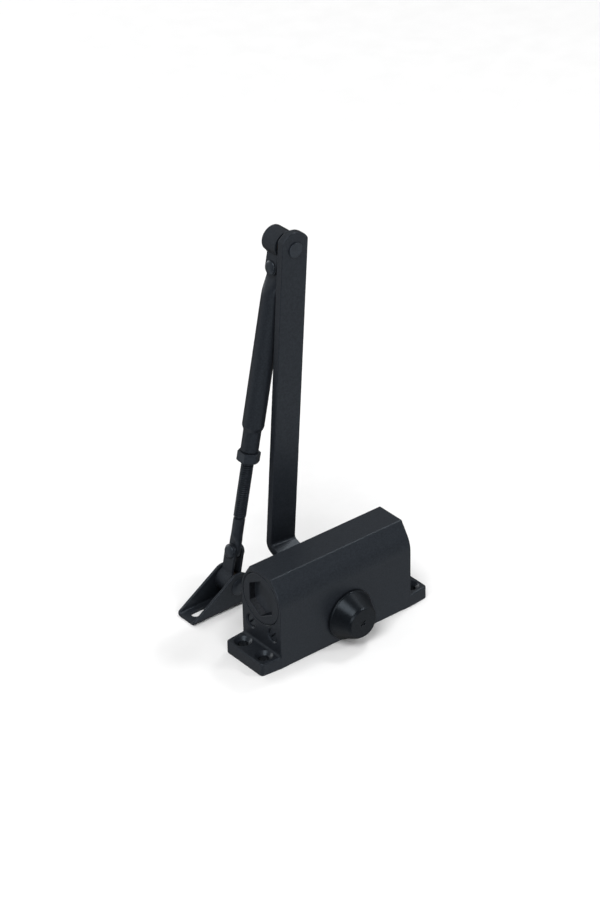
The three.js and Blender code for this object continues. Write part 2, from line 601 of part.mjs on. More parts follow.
/** The tube: flattened to a tongue at the elbow, necked down and threaded inside at the other end. */
function forearmTube() {
  const body = turned('z', [
    [0, 0], [TUBE.radius, 0], [TUBE.radius, -TUBE_NECK.shoulder], [TUBE_NECK.radius, -TUBE_NECK.from],
    [TUBE_NECK.radius, -TUBE_NECK.to], [0, -TUBE_NECK.to],
  ], [0, CHAIN_Y, 0], TUBE_ROUND);
  const thick = TUBE.radius + 1;
  const fromSide = upright([
    [TUBE.flatHalf, 0], [-TUBE.flatHalf, 0], [-TUBE.flatHalf, -TUBE.flatEnd], [-thick, -TUBE.roundFrom],
    [-thick, -TUBE_NECK.to - 1], [thick, -TUBE_NECK.to - 1], [thick, -TUBE.roundFrom],
    [TUBE.flatHalf, -TUBE.flatEnd],
  ], CHAIN_Y - thick, CHAIN_Y + thick);
  const tongue = [
    ...arc(CHAIN_Y, -ELBOW_CROSS, TUBE.flatWidth, 0, Math.PI, TONGUE_STEPS),
    [CHAIN_Y - TUBE.flatWidth, -TUBE.flatEnd], [CHAIN_Y - thick, -TUBE.roundFrom],
    [CHAIN_Y - thick, -TUBE_NECK.to - 1],
    [CHAIN_Y + thick, -TUBE_NECK.to - 1], [CHAIN_Y + thick, -TUBE.roundFrom],
    [CHAIN_Y + TUBE.flatWidth, -TUBE.flatEnd],
  ];
  const fromFront = plate('x', tongue, -thick, thick);
  const bore = turned('z', [
    [0, -TUBE.roundFrom - 6], [TUBE.bore, -TUBE.roundFrom - 12], [TUBE.bore, -TUBE_NECK.shoulder + 1],
    [TUBE_NECK.bore, -TUBE_NECK.shoulder], [TUBE_NECK.bore, -TUBE_NECK.to - 1], [0, -TUBE_NECK.to - 1],
  ], [0, CHAIN_Y, 0], TUBE_ROUND);
  const rivetHole = bar('x', CROSS_RIVET.radius + CLEARANCE, -thick, thick, [0, CHAIN_Y, -ELBOW_CROSS],
    SMALL_ROUND);
  return cut(body.intersect(fromSide).intersect(fromFront), bore, rivetHole);
}

function lockNut() {
  const corner = NUT.flats / Math.sqrt(3);
  const blank = plate('z', moved(hexagon(NUT.flats), 0, CHAIN_Y), -NUT.to, -NUT.from);
  const turnedEnds = turned('z', [
    [0, -NUT.to], [corner - NUT.chamfer, -NUT.to], [corner + LOOSE, -NUT.to + NUT.chamfer * 0.7],
    [corner + LOOSE, -NUT.from - NUT.chamfer * 0.7], [corner - NUT.chamfer, -NUT.from], [0, -NUT.from],
  ], [0, CHAIN_Y, 0]);
  return cut(blank.intersect(turnedEnds),
    bar('z', NUT.bore, -NUT.to - 1, -NUT.from + 1, [0, CHAIN_Y, 0], TUBE_ROUND));
}

/** The adjusting rod: a threaded length, a plain shank and a flattened end for the shoe's knuckle. */
function adjusterRod() {
  const shank = turned('z', [
    [0, -ROD.from], [ROD.radius - ROD.chamfer, -ROD.from], [ROD.radius, -ROD.from - ROD.chamfer],
    [ROD.radius, -ROD.threadEnd],
    [ROD.shank, -ROD.threadEnd - ROD.chamfer], [ROD.shank, -ROD.flatFrom],
    [ROD.flatHalf, -ROD.flatFrom - ROD.taper],
    [0, -ROD.flatFrom - ROD.taper],
  ], [0, CHAIN_Y, 0], TUBE_ROUND);
  const tongue = plate('x', [
    ...arc(CHAIN_Y, -SHOE_CROSS, ROD.flatWidth, Math.PI, 2 * Math.PI, EAR_STEPS),
    [CHAIN_Y + ROD.flatWidth, -ROD.flatFrom - ROD.spread], [CHAIN_Y + ROD.shank, -ROD.flatFrom],
    [CHAIN_Y - ROD.shank, -ROD.flatFrom], [CHAIN_Y - ROD.flatWidth, -ROD.flatFrom - ROD.spread],
  ], -ROD.flatHalf, ROD.flatHalf);
  const rivetHole = bar('x', CROSS_RIVET.radius + CLEARANCE, -10, 10, [0, CHAIN_Y, -SHOE_CROSS],
    SMALL_ROUND);
  return cut(join(shank, tongue), rivetHole);
}

// ---------------------------------------------------------------- shoe

const elbowCentre = [
  PINION.x + ARM.length * Math.sin(ARM.tilt),
  PINION.z + ARM.length * Math.cos(ARM.tilt),
];
const shoePivot = [
  elbowCentre[0] - SHOE_PIVOT * Math.sin(FOREARM_TILT),
  elbowCentre[1] - SHOE_PIVOT * Math.cos(FOREARM_TILT),
];

/** A cheek of the shoe in (x, z): it rises from the tip in a tangent to the lobe round the pin. */
function cheekOutline() {
  const [pivotX, pivotZ] = shoePivot;
  const tip = [SHOE.tip + SHOE.tipStep, SHOE.tipHeight];
  const reach = Math.hypot(pivotX - tip[0], pivotZ - tip[1]);
  const tangent = Math.atan2(pivotZ - tip[1], pivotX - tip[0]) + Math.asin(SHOE.lobe / reach);
  const back = Math.acos(SHOE.backEdge / SHOE.lobe);
  return [
    ...arc(pivotX, pivotZ, SHOE.lobe, back, tangent + Math.PI / 2, END_STEPS),
    tip, [SHOE.tip, 1], [SHOE.tip, 0], [pivotX + SHOE.backEdge, 0],
  ];
}

function shoeBracket() {
  const near = CHAIN_Y - SHOE.near;
  const far = CHAIN_Y + SHOE.far;
  const cheeks = [[near, near + SHOE.sheet], [far - SHOE.sheet, far]]
    .map((ends) => upright(cheekOutline(), ...ends));
  const base = plate('z', rounded([
    [SHOE.tip, near, SHOE.tipCorner], [SHOE.end, near, SHOE.endCorner], [SHOE.end, far, SHOE.endCorner],
    [SHOE.tip, far, SHOE.tipCorner],
  ]), 0, SHOE.sheet);
  const tipTrim = plate('z', rounded([
    [SHOE.tip, near, SHOE.tipCorner], [SHOE.end, near], [SHOE.end, far], [SHOE.tip, far, SHOE.tipCorner],
  ]), -BEYOND, SHOE.tallerThan);
  const slot = plate('z', [
    ...arc(SHOE_SLOT.to - SHOE_SLOT.halfWidth, SHOE_Y, SHOE_SLOT.halfWidth, -Math.PI / 2, Math.PI / 2, 8),
    ...arc(SHOE_SLOT.from + SHOE_SLOT.halfWidth, SHOE_Y, SHOE_SLOT.halfWidth, Math.PI / 2,
    3 * Math.PI / 2, 8),
  ], -1, SHOE.sheet + 1);
  const screwHole = bar('z', SHOE_HOLE.radius, -1, SHOE.sheet + 1, [SHOE_HOLE.x, SHOE_Y, 0], SMALL_ROUND);
  const pinHole = bar('y', SHOE_PIN.radius + CLEARANCE, near - 1, far + 1, [shoePivot[0], 0, shoePivot[1]]);
  return cut(join(base, ...cheeks).intersect(tipTrim), slot, screwHole, pinHole);
}

function shoePin() {
  const near = CHAIN_Y - SHOE.near - HEAD_GAP;
  const far = CHAIN_Y + SHOE.far + HEAD_GAP;
  return turned('y', [
    [0, near - SHOE_PIN.headDepth], [SHOE_PIN.head - 1, near - SHOE_PIN.headDepth],
    [SHOE_PIN.head, near - 0.5],
    [SHOE_PIN.head, near], [SHOE_PIN.radius, near], [SHOE_PIN.radius, far], [SHOE_PIN.farHead, far],
    [SHOE_PIN.farHead - 0.8, far + SHOE_PIN.headDepth], [0, far + SHOE_PIN.headDepth],
  ], [shoePivot[0], 0, shoePivot[1]]);
}

// ---------------------------------------------------------------- assembly

const closer = new THREE.Group();

closer.add(
  part('body_casting', housingCasting(), BLACK_PAINT),
  part('piston', piston(), STEEL),
  part('check_valve', checkValve(), BRASS),
  part('main_spring', mainSpring(), SPRING_STEEL),
);
for (const [place, side] of [['front', -1], ['rear', 1]]) {
  closer.add(
    part(`end_plug_${place}`, endPlug(side), BLACK_PAINT),
    part(`plug_seal_${place}`, plugSeal(side), RUBBER),
  );
}
for (const [place, side] of [['cap_side', -1], ['arm_side', 1]]) {
  closer.add(
    part(`pinion_retainer_${place}`, retainer(side), BLACK_STEEL),
    part(`pinion_bearing_${place}`, pinionRing(side, BEARING), BRONZE),
    part(`pinion_seal_${place}`, pinionRing(side, SEAL), RUBBER),
    part(`thrust_washer_${place}`, pinionRing(side, THRUST_WASHER), STEEL),
  );
}
for (const [duty, side] of [['closing', 1], ['latching', -1]]) {
  closer.add(
    part(`valve_screw_${duty}`, valveScrew(side), BLACK_STEEL),
    part(`valve_seal_${duty}`, valveSeal(side), RUBBER),
  );
}

const armGroup = new THREE.Group();
armGroup.position.set(PINION.x, 0, PINION.z);
armGroup.rotation.y = ARM.tilt;
armGroup.add(
  part('main_arm', mainArm(), BLACK_PAINT),
  part('arm_washer', ring('y', ARM_SCREW.shank + END_GAP, ARM_WASHER.radius, ARM_WASHER.from,
  ARM_WASHER.to), BLACK_STEEL),
  part('arm_screw', armScrew(), BLACK_STEEL),
  part('elbow_rivet', elbowRivet(), BLACK_STEEL),
  part('elbow_washer', ring(
    'y', ELBOW_PIN.radius + LOOSE, ELBOW_SPACER_RADIUS,
    ARM_CRANK.upperFace + ARM.thickness + END_GAP, CHAIN_Y - ELBOW.near - END_GAP, [0, 0, ARM.length],
  ), BLACK_STEEL),
  part('pinion_shaft', pinionShaft(), STEEL),
  part('spindle_cap', spindleCap(), BLACK_PLASTIC),
);
closer.add(armGroup);

const forearmGroup = new THREE.Group();
forearmGroup.position.set(elbowCentre[0], 0, elbowCentre[1]);
forearmGroup.rotation.y = FOREARM_TILT;
forearmGroup.add(
  part('elbow_knuckle', knuckle(ELBOW, -ELBOW_CROSS, 0), BLACK_PAINT),
  part('elbow_bushing', ring(
    'y', ELBOW_PIN.radius + LOOSE, ELBOW.drum - ELBOW.strip - LOOSE,
    CHAIN_Y - ELBOW.near + LOOSE, CHAIN_Y + ELBOW.far - LOOSE,
  ), BRONZE),
  part('elbow_cross_rivet', crossRivet(ELBOW.earOuter, -ELBOW_CROSS), BLACK_STEEL),
  part('forearm_tube', forearmTube(), BLACK_PAINT),
  part('lock_nut', lockNut(), BLACK_STEEL),
  part('adjuster_rod', adjusterRod(), BLACK_STEEL),
  part('shoe_cross_rivet', crossRivet(SHOE_KNUCKLE.earOuter, -SHOE_CROSS), BLACK_STEEL),
  part('shoe_knuckle', knuckle(SHOE_KNUCKLE, -SHOE_CROSS, -SHOE_PIVOT), BLACK_PAINT),
  part('shoe_bushing', ring(
    'y', SHOE_PIN.radius + LOOSE, SHOE_KNUCKLE.drum - SHOE_KNUCKLE.strip - LOOSE,
    CHAIN_Y - SHOE_KNUCKLE.near, CHAIN_Y + SHOE_KNUCKLE.far, [0, 0, -SHOE_PIVOT],
  ), BRONZE),
);
closer.add(forearmGroup);

closer.add(
  part('shoe_bracket', shoeBracket(), BLACK_PAINT),
  part('shoe_pin', shoePin(), BLACK_STEEL),
);

export default closer;
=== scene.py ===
"""The looks of the door closer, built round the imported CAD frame. Lengths are in millimetres until add_piece()."""

import json
import math
from types import SimpleNamespace as Sizes

import bmesh
import bpy
import numpy as np
from mathutils import Matrix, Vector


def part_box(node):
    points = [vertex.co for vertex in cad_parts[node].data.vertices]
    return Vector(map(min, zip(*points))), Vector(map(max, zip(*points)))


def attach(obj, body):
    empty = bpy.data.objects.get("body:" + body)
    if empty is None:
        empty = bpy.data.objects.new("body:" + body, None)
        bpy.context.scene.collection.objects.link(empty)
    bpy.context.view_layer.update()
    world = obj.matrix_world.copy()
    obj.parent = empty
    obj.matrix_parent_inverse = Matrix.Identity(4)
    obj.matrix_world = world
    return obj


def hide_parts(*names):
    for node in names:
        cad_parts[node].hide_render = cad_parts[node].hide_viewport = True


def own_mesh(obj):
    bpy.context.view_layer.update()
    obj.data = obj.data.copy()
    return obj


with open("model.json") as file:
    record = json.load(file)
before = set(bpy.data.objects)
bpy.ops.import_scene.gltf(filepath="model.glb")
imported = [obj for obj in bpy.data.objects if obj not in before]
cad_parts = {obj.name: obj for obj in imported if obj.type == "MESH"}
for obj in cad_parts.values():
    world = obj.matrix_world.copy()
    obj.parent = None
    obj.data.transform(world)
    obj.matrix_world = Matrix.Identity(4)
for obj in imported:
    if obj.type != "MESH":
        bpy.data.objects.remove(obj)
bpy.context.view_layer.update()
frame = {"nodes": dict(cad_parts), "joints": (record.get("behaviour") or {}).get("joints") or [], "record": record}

MM = 0.001
ROUND = 96  # segments round a circle, and round a small one
SMALL_ROUND = 64
CREASE = math.radians(34)  # a sharper edge than this stays sharp
FLAT = math.radians(0.2)  # faces nearer to parallel than this are one flat
SLICE_TOLERANCE = 1e-5
BEYOND = 1.0  # how far a cutting tool reaches out of what it cuts

# ---- places taken from the frame

JOINTS = {joint["name"]: joint for joint in frame["joints"]}


def joint_at(name):
    return np.array(JOINTS[name]["pos_m"]) / MM


def box(node):
    low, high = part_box(node)
    return np.array(low) / MM, np.array(high) / MM


def span(node, axis):
    low, high = box(node)
    return low[axis], high[axis]


PINION = joint_at("pinion_turn")
PINION_AXIS = (PINION[0], 0, PINION[2])
ELBOW = joint_at("elbow_turn")
SHOE_PIVOT = joint_at("shoe_turn")
CHAIN_Y = ELBOW[1]
ARM_LENGTH = math.hypot(ELBOW[0] - PINION[0], ELBOW[2] - PINION[2])
ARM_TILT = math.atan2(ELBOW[0] - PINION[0], ELBOW[2] - PINION[2])
FOREARM_LENGTH = math.hypot(ELBOW[0] - SHOE_PIVOT[0], ELBOW[2] - SHOE_PIVOT[2])
FOREARM_TILT = math.atan2(ELBOW[0] - SHOE_PIVOT[0], ELBOW[2] - SHOE_PIVOT[2])
ELBOW_CROSS = float(np.linalg.norm(ELBOW - joint_at("elbow_tilt")))
SHOE_CROSS = float(np.linalg.norm(ELBOW - joint_at("shoe_tilt")))

END_FACE = span("end_plug_rear", 0)[1]
HALF_WIDTH = span("body_casting", 1)[1]
HEIGHT = span("body_casting", 2)[1]
FLANGE_TIP = span("body_casting", 0)[1]
PLUG_RADIUS = (span("end_plug_front", 1)[1] - span("end_plug_front", 1)[0]) / 2
BORE_Z = sum(span("end_plug_front", 2)) / 2

# ---- closed surfaces
# A surface is a pair: an array of points, and a list of faces as tuples of point numbers.


def oriented(points, faces):
    """The surface with its faces turned outwards."""
    points = np.asarray(points, float)
    volume = 0.0
    for face in faces:
        a = points[face[0]]
        for j in range(1, len(face) - 1):
            volume += np.dot(a, np.cross(points[face[j]], points[face[j + 1]]))
    if volume < 0:
        faces = [tuple(reversed(face)) for face in faces]
    return points, faces


def loft(rings, wrapped=False):
    """A surface through rings of points, capped at both ends or wrapped back to the first ring."""
    count = len(rings[0])
    pairs = [(i, i + 1) for i in range(len(rings) - 1)]
    if wrapped:
        pairs.append((len(rings) - 1, 0))
    faces = []
    for a, b in pairs:
        for j in range(count):
            k = (j + 1) % count
            faces.append((a * count + j, a * count + k, b * count + k, b * count + j))
    if not wrapped:
        faces.append(tuple(reversed(range(count))))
        faces.append(tuple(range((len(rings) - 1) * count, len(rings) * count)))
    return oriented(np.concatenate(rings), faces)


def on_axis(axis, u, v, along):
    """Points from two coordinates across an axis and one along it: (y, z), (x, z) or (x, y) go across."""
    columns = {"x": (along, u, v), "y": (u, along, v), "z": (u, v, along)}[axis]
    return np.column_stack(np.broadcast_arrays(*columns))


def turned(axis, profile, centre=(0, 0, 0), segments=ROUND, hollow=False, side=1):
    """A surface of revolution. The profile has (radius, along) points, and is a closed ring if hollow."""
    angles = np.arange(segments) * 2 * math.pi / segments
    rings = [on_axis(axis, r * np.cos(angles), r * np.sin(angles), side * a) for r, a in profile]
    points, faces = loft(rings, wrapped=hollow)
    return points + np.array(centre), faces


def drill(axis, radius, first, last, centre, lip=0.0, segments=SMALL_ROUND):
    """A tool for a hole through everything between two places, with chamfered ends if it has a lip."""
    profile = [(radius, first - BEYOND), (radius, last + BEYOND)]
    if lip:
        wide = radius + lip
        profile = [(wide, first - BEYOND), (wide, first), (radius, first + lip), (radius, last - lip), (wide, last),
                   (wide, last + BEYOND)]
    return turned(axis, profile, centre, segments)


def rounded(corners, steps=6, closed=True):
    """A line whose corners (x, y, radius) are rounded."""
    points = []
    last = len(corners) - 1
    for i, corner in enumerate(corners):
        here = np.array(corner[:2], float)
        radius = corner[2] if len(corner) > 2 else 0
        if not radius or (not closed and i in (0, last)):
            points.append(tuple(here))
            continue
        before = np.array(corners[i - 1][:2]) - here
        after = np.array(corners[(i + 1) % len(corners)][:2]) - here
        before /= np.linalg.norm(before)
        after /= np.linalg.norm(after)
        half = math.acos(np.clip(before @ after, -1, 1)) / 2
        middle = (before + after) / np.linalg.norm(before + after)
        centre = here + middle * radius / math.sin(half)
        start = here + before * radius / math.tan(half) - centre
        end = here + after * radius / math.tan(half) - centre
        first = math.atan2(start[1], start[0])
        turn = (math.atan2(end[1], end[0]) - first + math.pi) % (2 * math.pi) - math.pi
        points += arc(centre, radius, first, first + turn, steps)
    return points


def arc(centre, radius, first, last, steps):
    """Points on an arc, both ends included."""
    angles = np.linspace(first, last, steps + 1)
    return [(centre[0] + radius * math.cos(a), centre[1] + radius * math.sin(a)) for a in angles]


def polygon(sides, flats, start):
    """A regular polygon of that width over its flats."""
    return arc((0, 0), flats / 2 / math.cos(math.pi / sides), start, start + 2 * math.pi, sides)[:-1]


def inset(outline, distance):
    """The outline, which runs anticlockwise, moved inwards."""
    ahead = np.roll(outline, -1, axis=0) - outline
    ahead /= np.linalg.norm(ahead, axis=1)[:, None]
    behind = np.roll(ahead, 1, axis=0)
    inward_ahead = np.column_stack((-ahead[:, 1], ahead[:, 0]))
    inward_behind = np.column_stack((-behind[:, 1], behind[:, 0]))
    overlap = 1 + (inward_ahead * inward_behind).sum(axis=1)
    return outline + distance * (inward_ahead + inward_behind) / overlap[:, None]


def layered(axis, outline, layers):
    """A surface through copies of an outline, each moved inwards and along the axis: (distance, along)."""
    return loft([on_axis(axis, *inset(np.array(outline), d).T, along) for d, along in layers])


def plate(axis, outline, first, last, first_edge=0.0, last_edge=0.0, steps=4):
    """A plate across an axis with its two edges rounded, or flared where an edge is negative."""
    outline = np.array(outline, float)
    following = np.roll(outline, -1, axis=0)
    if (outline[:, 0] * following[:, 1] - following[:, 0] * outline[:, 1]).sum() < 0:
        outline = outline[::-1]
    layers = []
    for start, edge, sign in ((first, first_edge, 1), (last, last_edge, -1)):
        size = abs(edge)
        angles = np.linspace(0, math.pi / 2, steps + 1) if edge else [math.pi / 2]
        rings = [(size * (1 - math.sin(a)) * (1 if edge > 0 else -1), start + sign * size * (1 - math.cos(a)))
                 for a in angles]
        layers.append(rings)
    rings = layers[0] + layers[1][::-1]
    return layered(axis, outline, rings)


def moved(shape, matrix):
    """The surface after a 4x4 matrix in millimetres."""
    points, faces = shape
    matrix = np.array(matrix)
    return oriented(points @ matrix[:3, :3].T + matrix[:3, 3], faces)


def new_mesh(name, shape):
    points, faces = shape
    mesh = bpy.data.meshes.new(name)
    mesh.from_pydata([tuple(p) for p in points], [], [tuple(f) for f in faces])
    mesh.validate()
    return mesh


def values(items, name, kind=int, size=1):
    """One property of every item of a mesh, as an array."""
    result = np.zeros(len(items) * size, kind)
    items.foreach_get(name, result)
    return result


def surface_of(mesh):
    return values(mesh.vertices, "co", float, 3).reshape(-1, 3), [tuple(face.vertices) for face in mesh.polygons]


def modified(shape, add_modifiers):
    """The surface after modifiers, which add_modifiers(object) puts on. It returns the objects they use."""
    target = bpy.data.objects.new("target", new_mesh("target", shape))
    bpy.context.scene.collection.objects.link(target)
    helpers = add_modifiers(target)
    evaluated = target.evaluated_get(bpy.context.evaluated_depsgraph_get())
    mesh = bpy.data.meshes.new_from_object(evaluated)
    result = surface_of(mesh)
    for each in [target, *helpers]:
        bpy.data.meshes.remove(each.data)
    bpy.data.meshes.remove(mesh)
    return result


def combined(operation, shape, others):
    def add_modifiers(target):
        helpers = []
        for other in others:
            helper = bpy.data.objects.new("helper", new_mesh("helper", other))
            bpy.context.scene.collection.objects.link(helper)
            modifier = target.modifiers.new("combine", "BOOLEAN")
            modifier.operation = operation
            modifier.solver = "MANIFOLD"
            modifier.object = helper
            helpers.append(helper)
        return helpers

    return modified(shape, add_modifiers)


def cut(shape, *tools):
    return combined("DIFFERENCE", shape, tools)


def join(shape, *others):
    return combined("UNION", shape, others)


def common(shape, *others):
    return combined("INTERSECT", shape, others)


def sliced(shape, places):
    """The surface with more edges, where its second coordinate has these values."""
    mesh = new_mesh("sliced", shape)
    work = bmesh.new()
    work.from_mesh(mesh)
    for place in places:
        everything = work.verts[:] + work.edges[:] + work.faces[:]
        bmesh.ops.bisect_plane(work, geom=everything, dist=SLICE_TOLERANCE, plane_co=(0, place, 0),
                               plane_no=(0, 1, 0))
    work.to_mesh(mesh)
    work.free()
    result = surface_of(mesh)
    bpy.data.meshes.remove(mesh)
    return result


def lengths_along(path):
    steps = np.linalg.norm(np.diff(path, axis=0), axis=1)
    return np.concatenate(([0.0], np.cumsum(steps)))


def bent(shape, path, start=0.0):
    """A flat plate bent along a path. Its points are (across, along, height off the middle), and the result has
    (across, first, second) with the path's own two coordinates. The path begins where along equals start."""
    path = np.array(path, float)
    at = lengths_along(path) + start
    ahead = np.diff(path, axis=0)
    ahead /= np.linalg.norm(ahead, axis=1)[:, None]
    side = np.column_stack((-ahead[:, 1], ahead[:, 0]))
    before = np.vstack((side[:1], side))
    after = np.vstack((side, side[-1:]))
    mitre = (before + after) / (1 + (before * after).sum(axis=1))[:, None]
    points, faces = sliced(shape, at[1:-1])
    across, along, height = points.T
    i = np.clip(np.searchsorted(at, along, side="right") - 1, 0, len(path) - 2)
    share = (along - at[i]) / (at[i + 1] - at[i])
    place = path[i] + share[:, None] * (path[i + 1] - path[i])
    held = np.clip(share, 0, 1)[:, None]
    place = place + height[:, None] * (mitre[i] + held * (mitre[i + 1] - mitre[i]))
    return oriented(np.column_stack((across, place)), faces)


# ---- shading and pieces


def labels(count, pairs):
    """One label for each of count things, equal where pairs join them."""
    label = np.arange(count)
    while len(pairs):
        low = np.minimum(label[pairs[:, 0]], label[pairs[:, 1]])
        lower = label.copy()
        for side in (0, 1):
            np.minimum.at(lower, pairs[:, side], low)
            np.minimum.at(lower, label[pairs[:, side]], low)
        lower = lower[lower]
        if (lower == label).all():
            break
        label = lower
    return label


def shade(mesh):
    """Smooth normals that stay exact on flat faces: each corner follows the largest flat it runs into."""
    loops = len(mesh.loops)
    faces = len(mesh.polygons)
    vertex, edge = (values(mesh.loops, name) for name in ("vertex_index", "edge_index"))
    start, total = (values(mesh.polygons, name) for name in ("loop_start", "loop_total"))
    normal = values(mesh.polygons, "normal", float, 3).reshape(-1, 3)
    area = values(mesh.polygons, "area", float)
    face = np.repeat(np.arange(faces), total)
    following = np.arange(loops) + 1
    following[start + total - 1] = start

    order = np.argsort(edge, kind="stable")
    same = edge[order][:-1] == edge[order][1:]
    one, two = order[:-1][same], order[1:][same]
    cosine = np.clip((normal[face[one]] * normal[face[two]]).sum(axis=1), -1, 1)
    flat = cosine > math.cos(FLAT)
    region = labels(faces, np.column_stack((face[one], face[two]))[flat])
    region_area = np.bincount(region, area, faces)[region]

    smooth = cosine > math.cos(CREASE)
    one, two = one[smooth], two[smooth]
    swapped = vertex[one] != vertex[two]
    first_match = np.where(swapped, following[two], two)
    second_match = np.where(swapped, two, following[two])
    pairs = np.concatenate((np.column_stack((one, first_match)), np.column_stack((following[one], second_match))))
    group = labels(loops, pairs)
    weight = (region_area[face] ** 2)[:, None] * normal[face]
    result = np.column_stack([np.bincount(group, weight[:, k], loops)[group] for k in range(3)])
    result /= np.maximum(np.linalg.norm(result, axis=1), 1e-20)[:, None]
    mesh.polygons.foreach_set("use_smooth", np.ones(faces, bool))
    mesh.normals_split_custom_set(result.tolist())


def add_piece(name, shape, body, slot, *nodes):
    """A finished piece in the frame: it rides on a CAD body, and has the material of its slot."""
    points, faces = shape
    mesh = new_mesh(name, (points * MM, faces))
    shade(mesh)
    mesh.materials.append(SLOT_MATERIALS[slot])
    piece = bpy.data.objects.new(name, mesh)
    bpy.context.scene.collection.objects.link(piece)
    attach(piece, body)
    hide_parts(*nodes)
    return piece


# ---- materials

VALUE_RANGE = (0.3, 0.7)  # the noise values that a number is spread over
COLOUR_RANGE = (0.35, 0.65)  # and those that a colour is
SWELL_STRENGTH = 0.35
GRAIN_STRENGTH = 0.5
COOL = (0.76, 0.88, 1.0)
PALE = (0.80, 0.90, 1.0)


def tuned(name, make):
    material = bpy.data.materials.new(name)
    material.use_nodes = True
    tree = material.node_tree
    shader = tree.nodes["Principled BSDF"]
    make(tree, shader)
    return material


def noise(tree, scale, detail=3.0, roughness=0.5):
    coordinates = tree.nodes.new("ShaderNodeTexCoord")
    texture = tree.nodes.new("ShaderNodeTexNoise")
    texture.inputs["Scale"].default_value = scale
    texture.inputs["Detail"].default_value = detail
    texture.inputs["Roughness"].default_value = roughness
    tree.links.new(coordinates.outputs["Object"], texture.inputs["Vector"])
    return texture.outputs["Fac"]


def between(tree, factor, low, high):
    spread = tree.nodes.new("ShaderNodeMapRange")
    spread.inputs["From Min"].default_value, spread.inputs["From Max"].default_value = VALUE_RANGE
    spread.inputs["To Min"].default_value = low
    spread.inputs["To Max"].default_value = high
    tree.links.new(factor, spread.inputs["Value"])
    return spread.outputs["Result"]


def blended(tree, factor, low, high):
    ramp = tree.nodes.new("ShaderNodeValToRGB")
    for element, position, colour in zip(ramp.color_ramp.elements, COLOUR_RANGE, (low, high)):
        element.position = position
        element.color = (*colour, 1)
    tree.links.new(factor, ramp.inputs["Fac"])
    return ramp.outputs["Color"]


def bumped(tree, shader, layers):
    """Bumps of (height socket, strength, depth in metres), one on another."""
    below = None
    for height, strength, depth in layers:
        bump = tree.nodes.new("ShaderNodeBump")
        bump.inputs["Strength"].default_value = strength
        bump.inputs["Distance"].default_value = depth
        tree.links.new(height, bump.inputs["Height"])
        if below:
            tree.links.new(below, bump.inputs["Normal"])
        below = bump.outputs["Normal"]
    tree.links.new(below, shader.inputs["Normal"])


def surface(name, low, high, rough, metallic=0.0, specular=0.5, tint=PALE, grain=2600, swell=420, grain_depth=2e-5,
            swell_depth=2e-5):
    """A coated, moulded or worked surface: fine grain over a slow swell, in colour, gloss and height."""

    def make(tree, shader):
        slow = noise(tree, swell, 2.0)
        fine = noise(tree, grain, 4.0, 0.6)
        tree.links.new(blended(tree, slow, low, high), shader.inputs["Base Color"])
        tree.links.new(between(tree, fine, *rough), shader.inputs["Roughness"])
        shader.inputs["Metallic"].default_value = metallic
        shader.inputs["Specular IOR Level"].default_value = specular
        shader.inputs["Specular Tint"].default_value = (*tint, 1)
        bumped(tree, shader, [(slow, SWELL_STRENGTH, swell_depth), (fine, GRAIN_STRENGTH, grain_depth)])

    return tuned(name, make)


COAT = surface("powder_coat_black", (0.0092, 0.0110, 0.0142), (0.0140, 0.0166, 0.0210), (0.27, 0.43), specular=0.24,
               tint=COOL, grain=2000, swell=900, grain_depth=3e-5, swell_depth=3e-5)
SOCKET_STEEL = surface("broached_steel", (0.090, 0.095, 0.105), (0.115, 0.122, 0.134), (0.32, 0.40), 1.0,
                       tint=COOL, grain=1500, swell=700, grain_depth=1e-5, swell_depth=1e-5)
PLASTIC = surface("moulded_black", (0.0034, 0.0042, 0.0056), (0.0044, 0.0055, 0.0073), (0.26, 0.34), specular=0.20,
                  tint=COOL, grain=1800, grain_depth=0.8e-5, swell_depth=1.0e-5)
BLACKENED = surface("blackened_steel", (0.0118, 0.0142, 0.0182), (0.0176, 0.0210, 0.0266), (0.26, 0.38), 0.1, 0.40,
                    tint=COOL, grain=3200, grain_depth=1e-5, swell_depth=0.8e-5)
STEEL = surface("ground_steel", (0.42, 0.43, 0.45), (0.52, 0.53, 0.55), (0.24, 0.36), 1.0, grain_depth=0.5e-5)
SPRING_STEEL = surface("oiled_spring", (0.20, 0.21, 0.23), (0.30, 0.31, 0.33), (0.25, 0.38), 1.0)
BRASS = surface("turned_brass", (0.62, 0.45, 0.20), (0.72, 0.54, 0.27), (0.22, 0.34), 1.0, grain_depth=0.5e-5)
BRONZE = surface("sintered_bronze", (0.050, 0.036, 0.024), (0.080, 0.058, 0.038), (0.45, 0.65), 1.0, grain=1500)
RUBBER = surface("seal_rubber", (0.008, 0.008, 0.008), (0.014, 0.014, 0.014), (0.65, 0.80), specular=0.35)

SLOT_MATERIALS = {
    "black_paint": COAT, "black_plastic": PLASTIC, "blackened_steel": BLACKENED, "ground_steel": STEEL,
    "spring_steel": SPRING_STEEL, "brass": BRASS, "bronze": BRONZE, "seal_rubber": RUBBER,
}

# ---- housing

RIDGE_HALF = 10.4
FLANGE = Sizes(top=8.7, taper=1.3, corner=2.4, edge=0.9, foot_edge=0.4, overlap=6.0, shy=0.03)
FILLET = Sizes(radius=1.7, root=1.0, half_width=18.1)
BLOCK_EDGE = 0.65
RIDGE_ROUND = 0.9
FOOT_ROUND = 0.8
FIXING = Sizes(x=59.0, y=10.3, radius=3.3, sink=5.5, depth=2.2, lip=0.35)
BORE = Sizes(radius=16.5, counter=17.5, depth=9.4, lip=0.2)
VALVE = Sizes(y=10.5, z=20.4, hole=4.2, depth=13.5, passage=0.9, lip=0.8)
CHAMBER = Sizes(radius=14.2, lip=0.4)


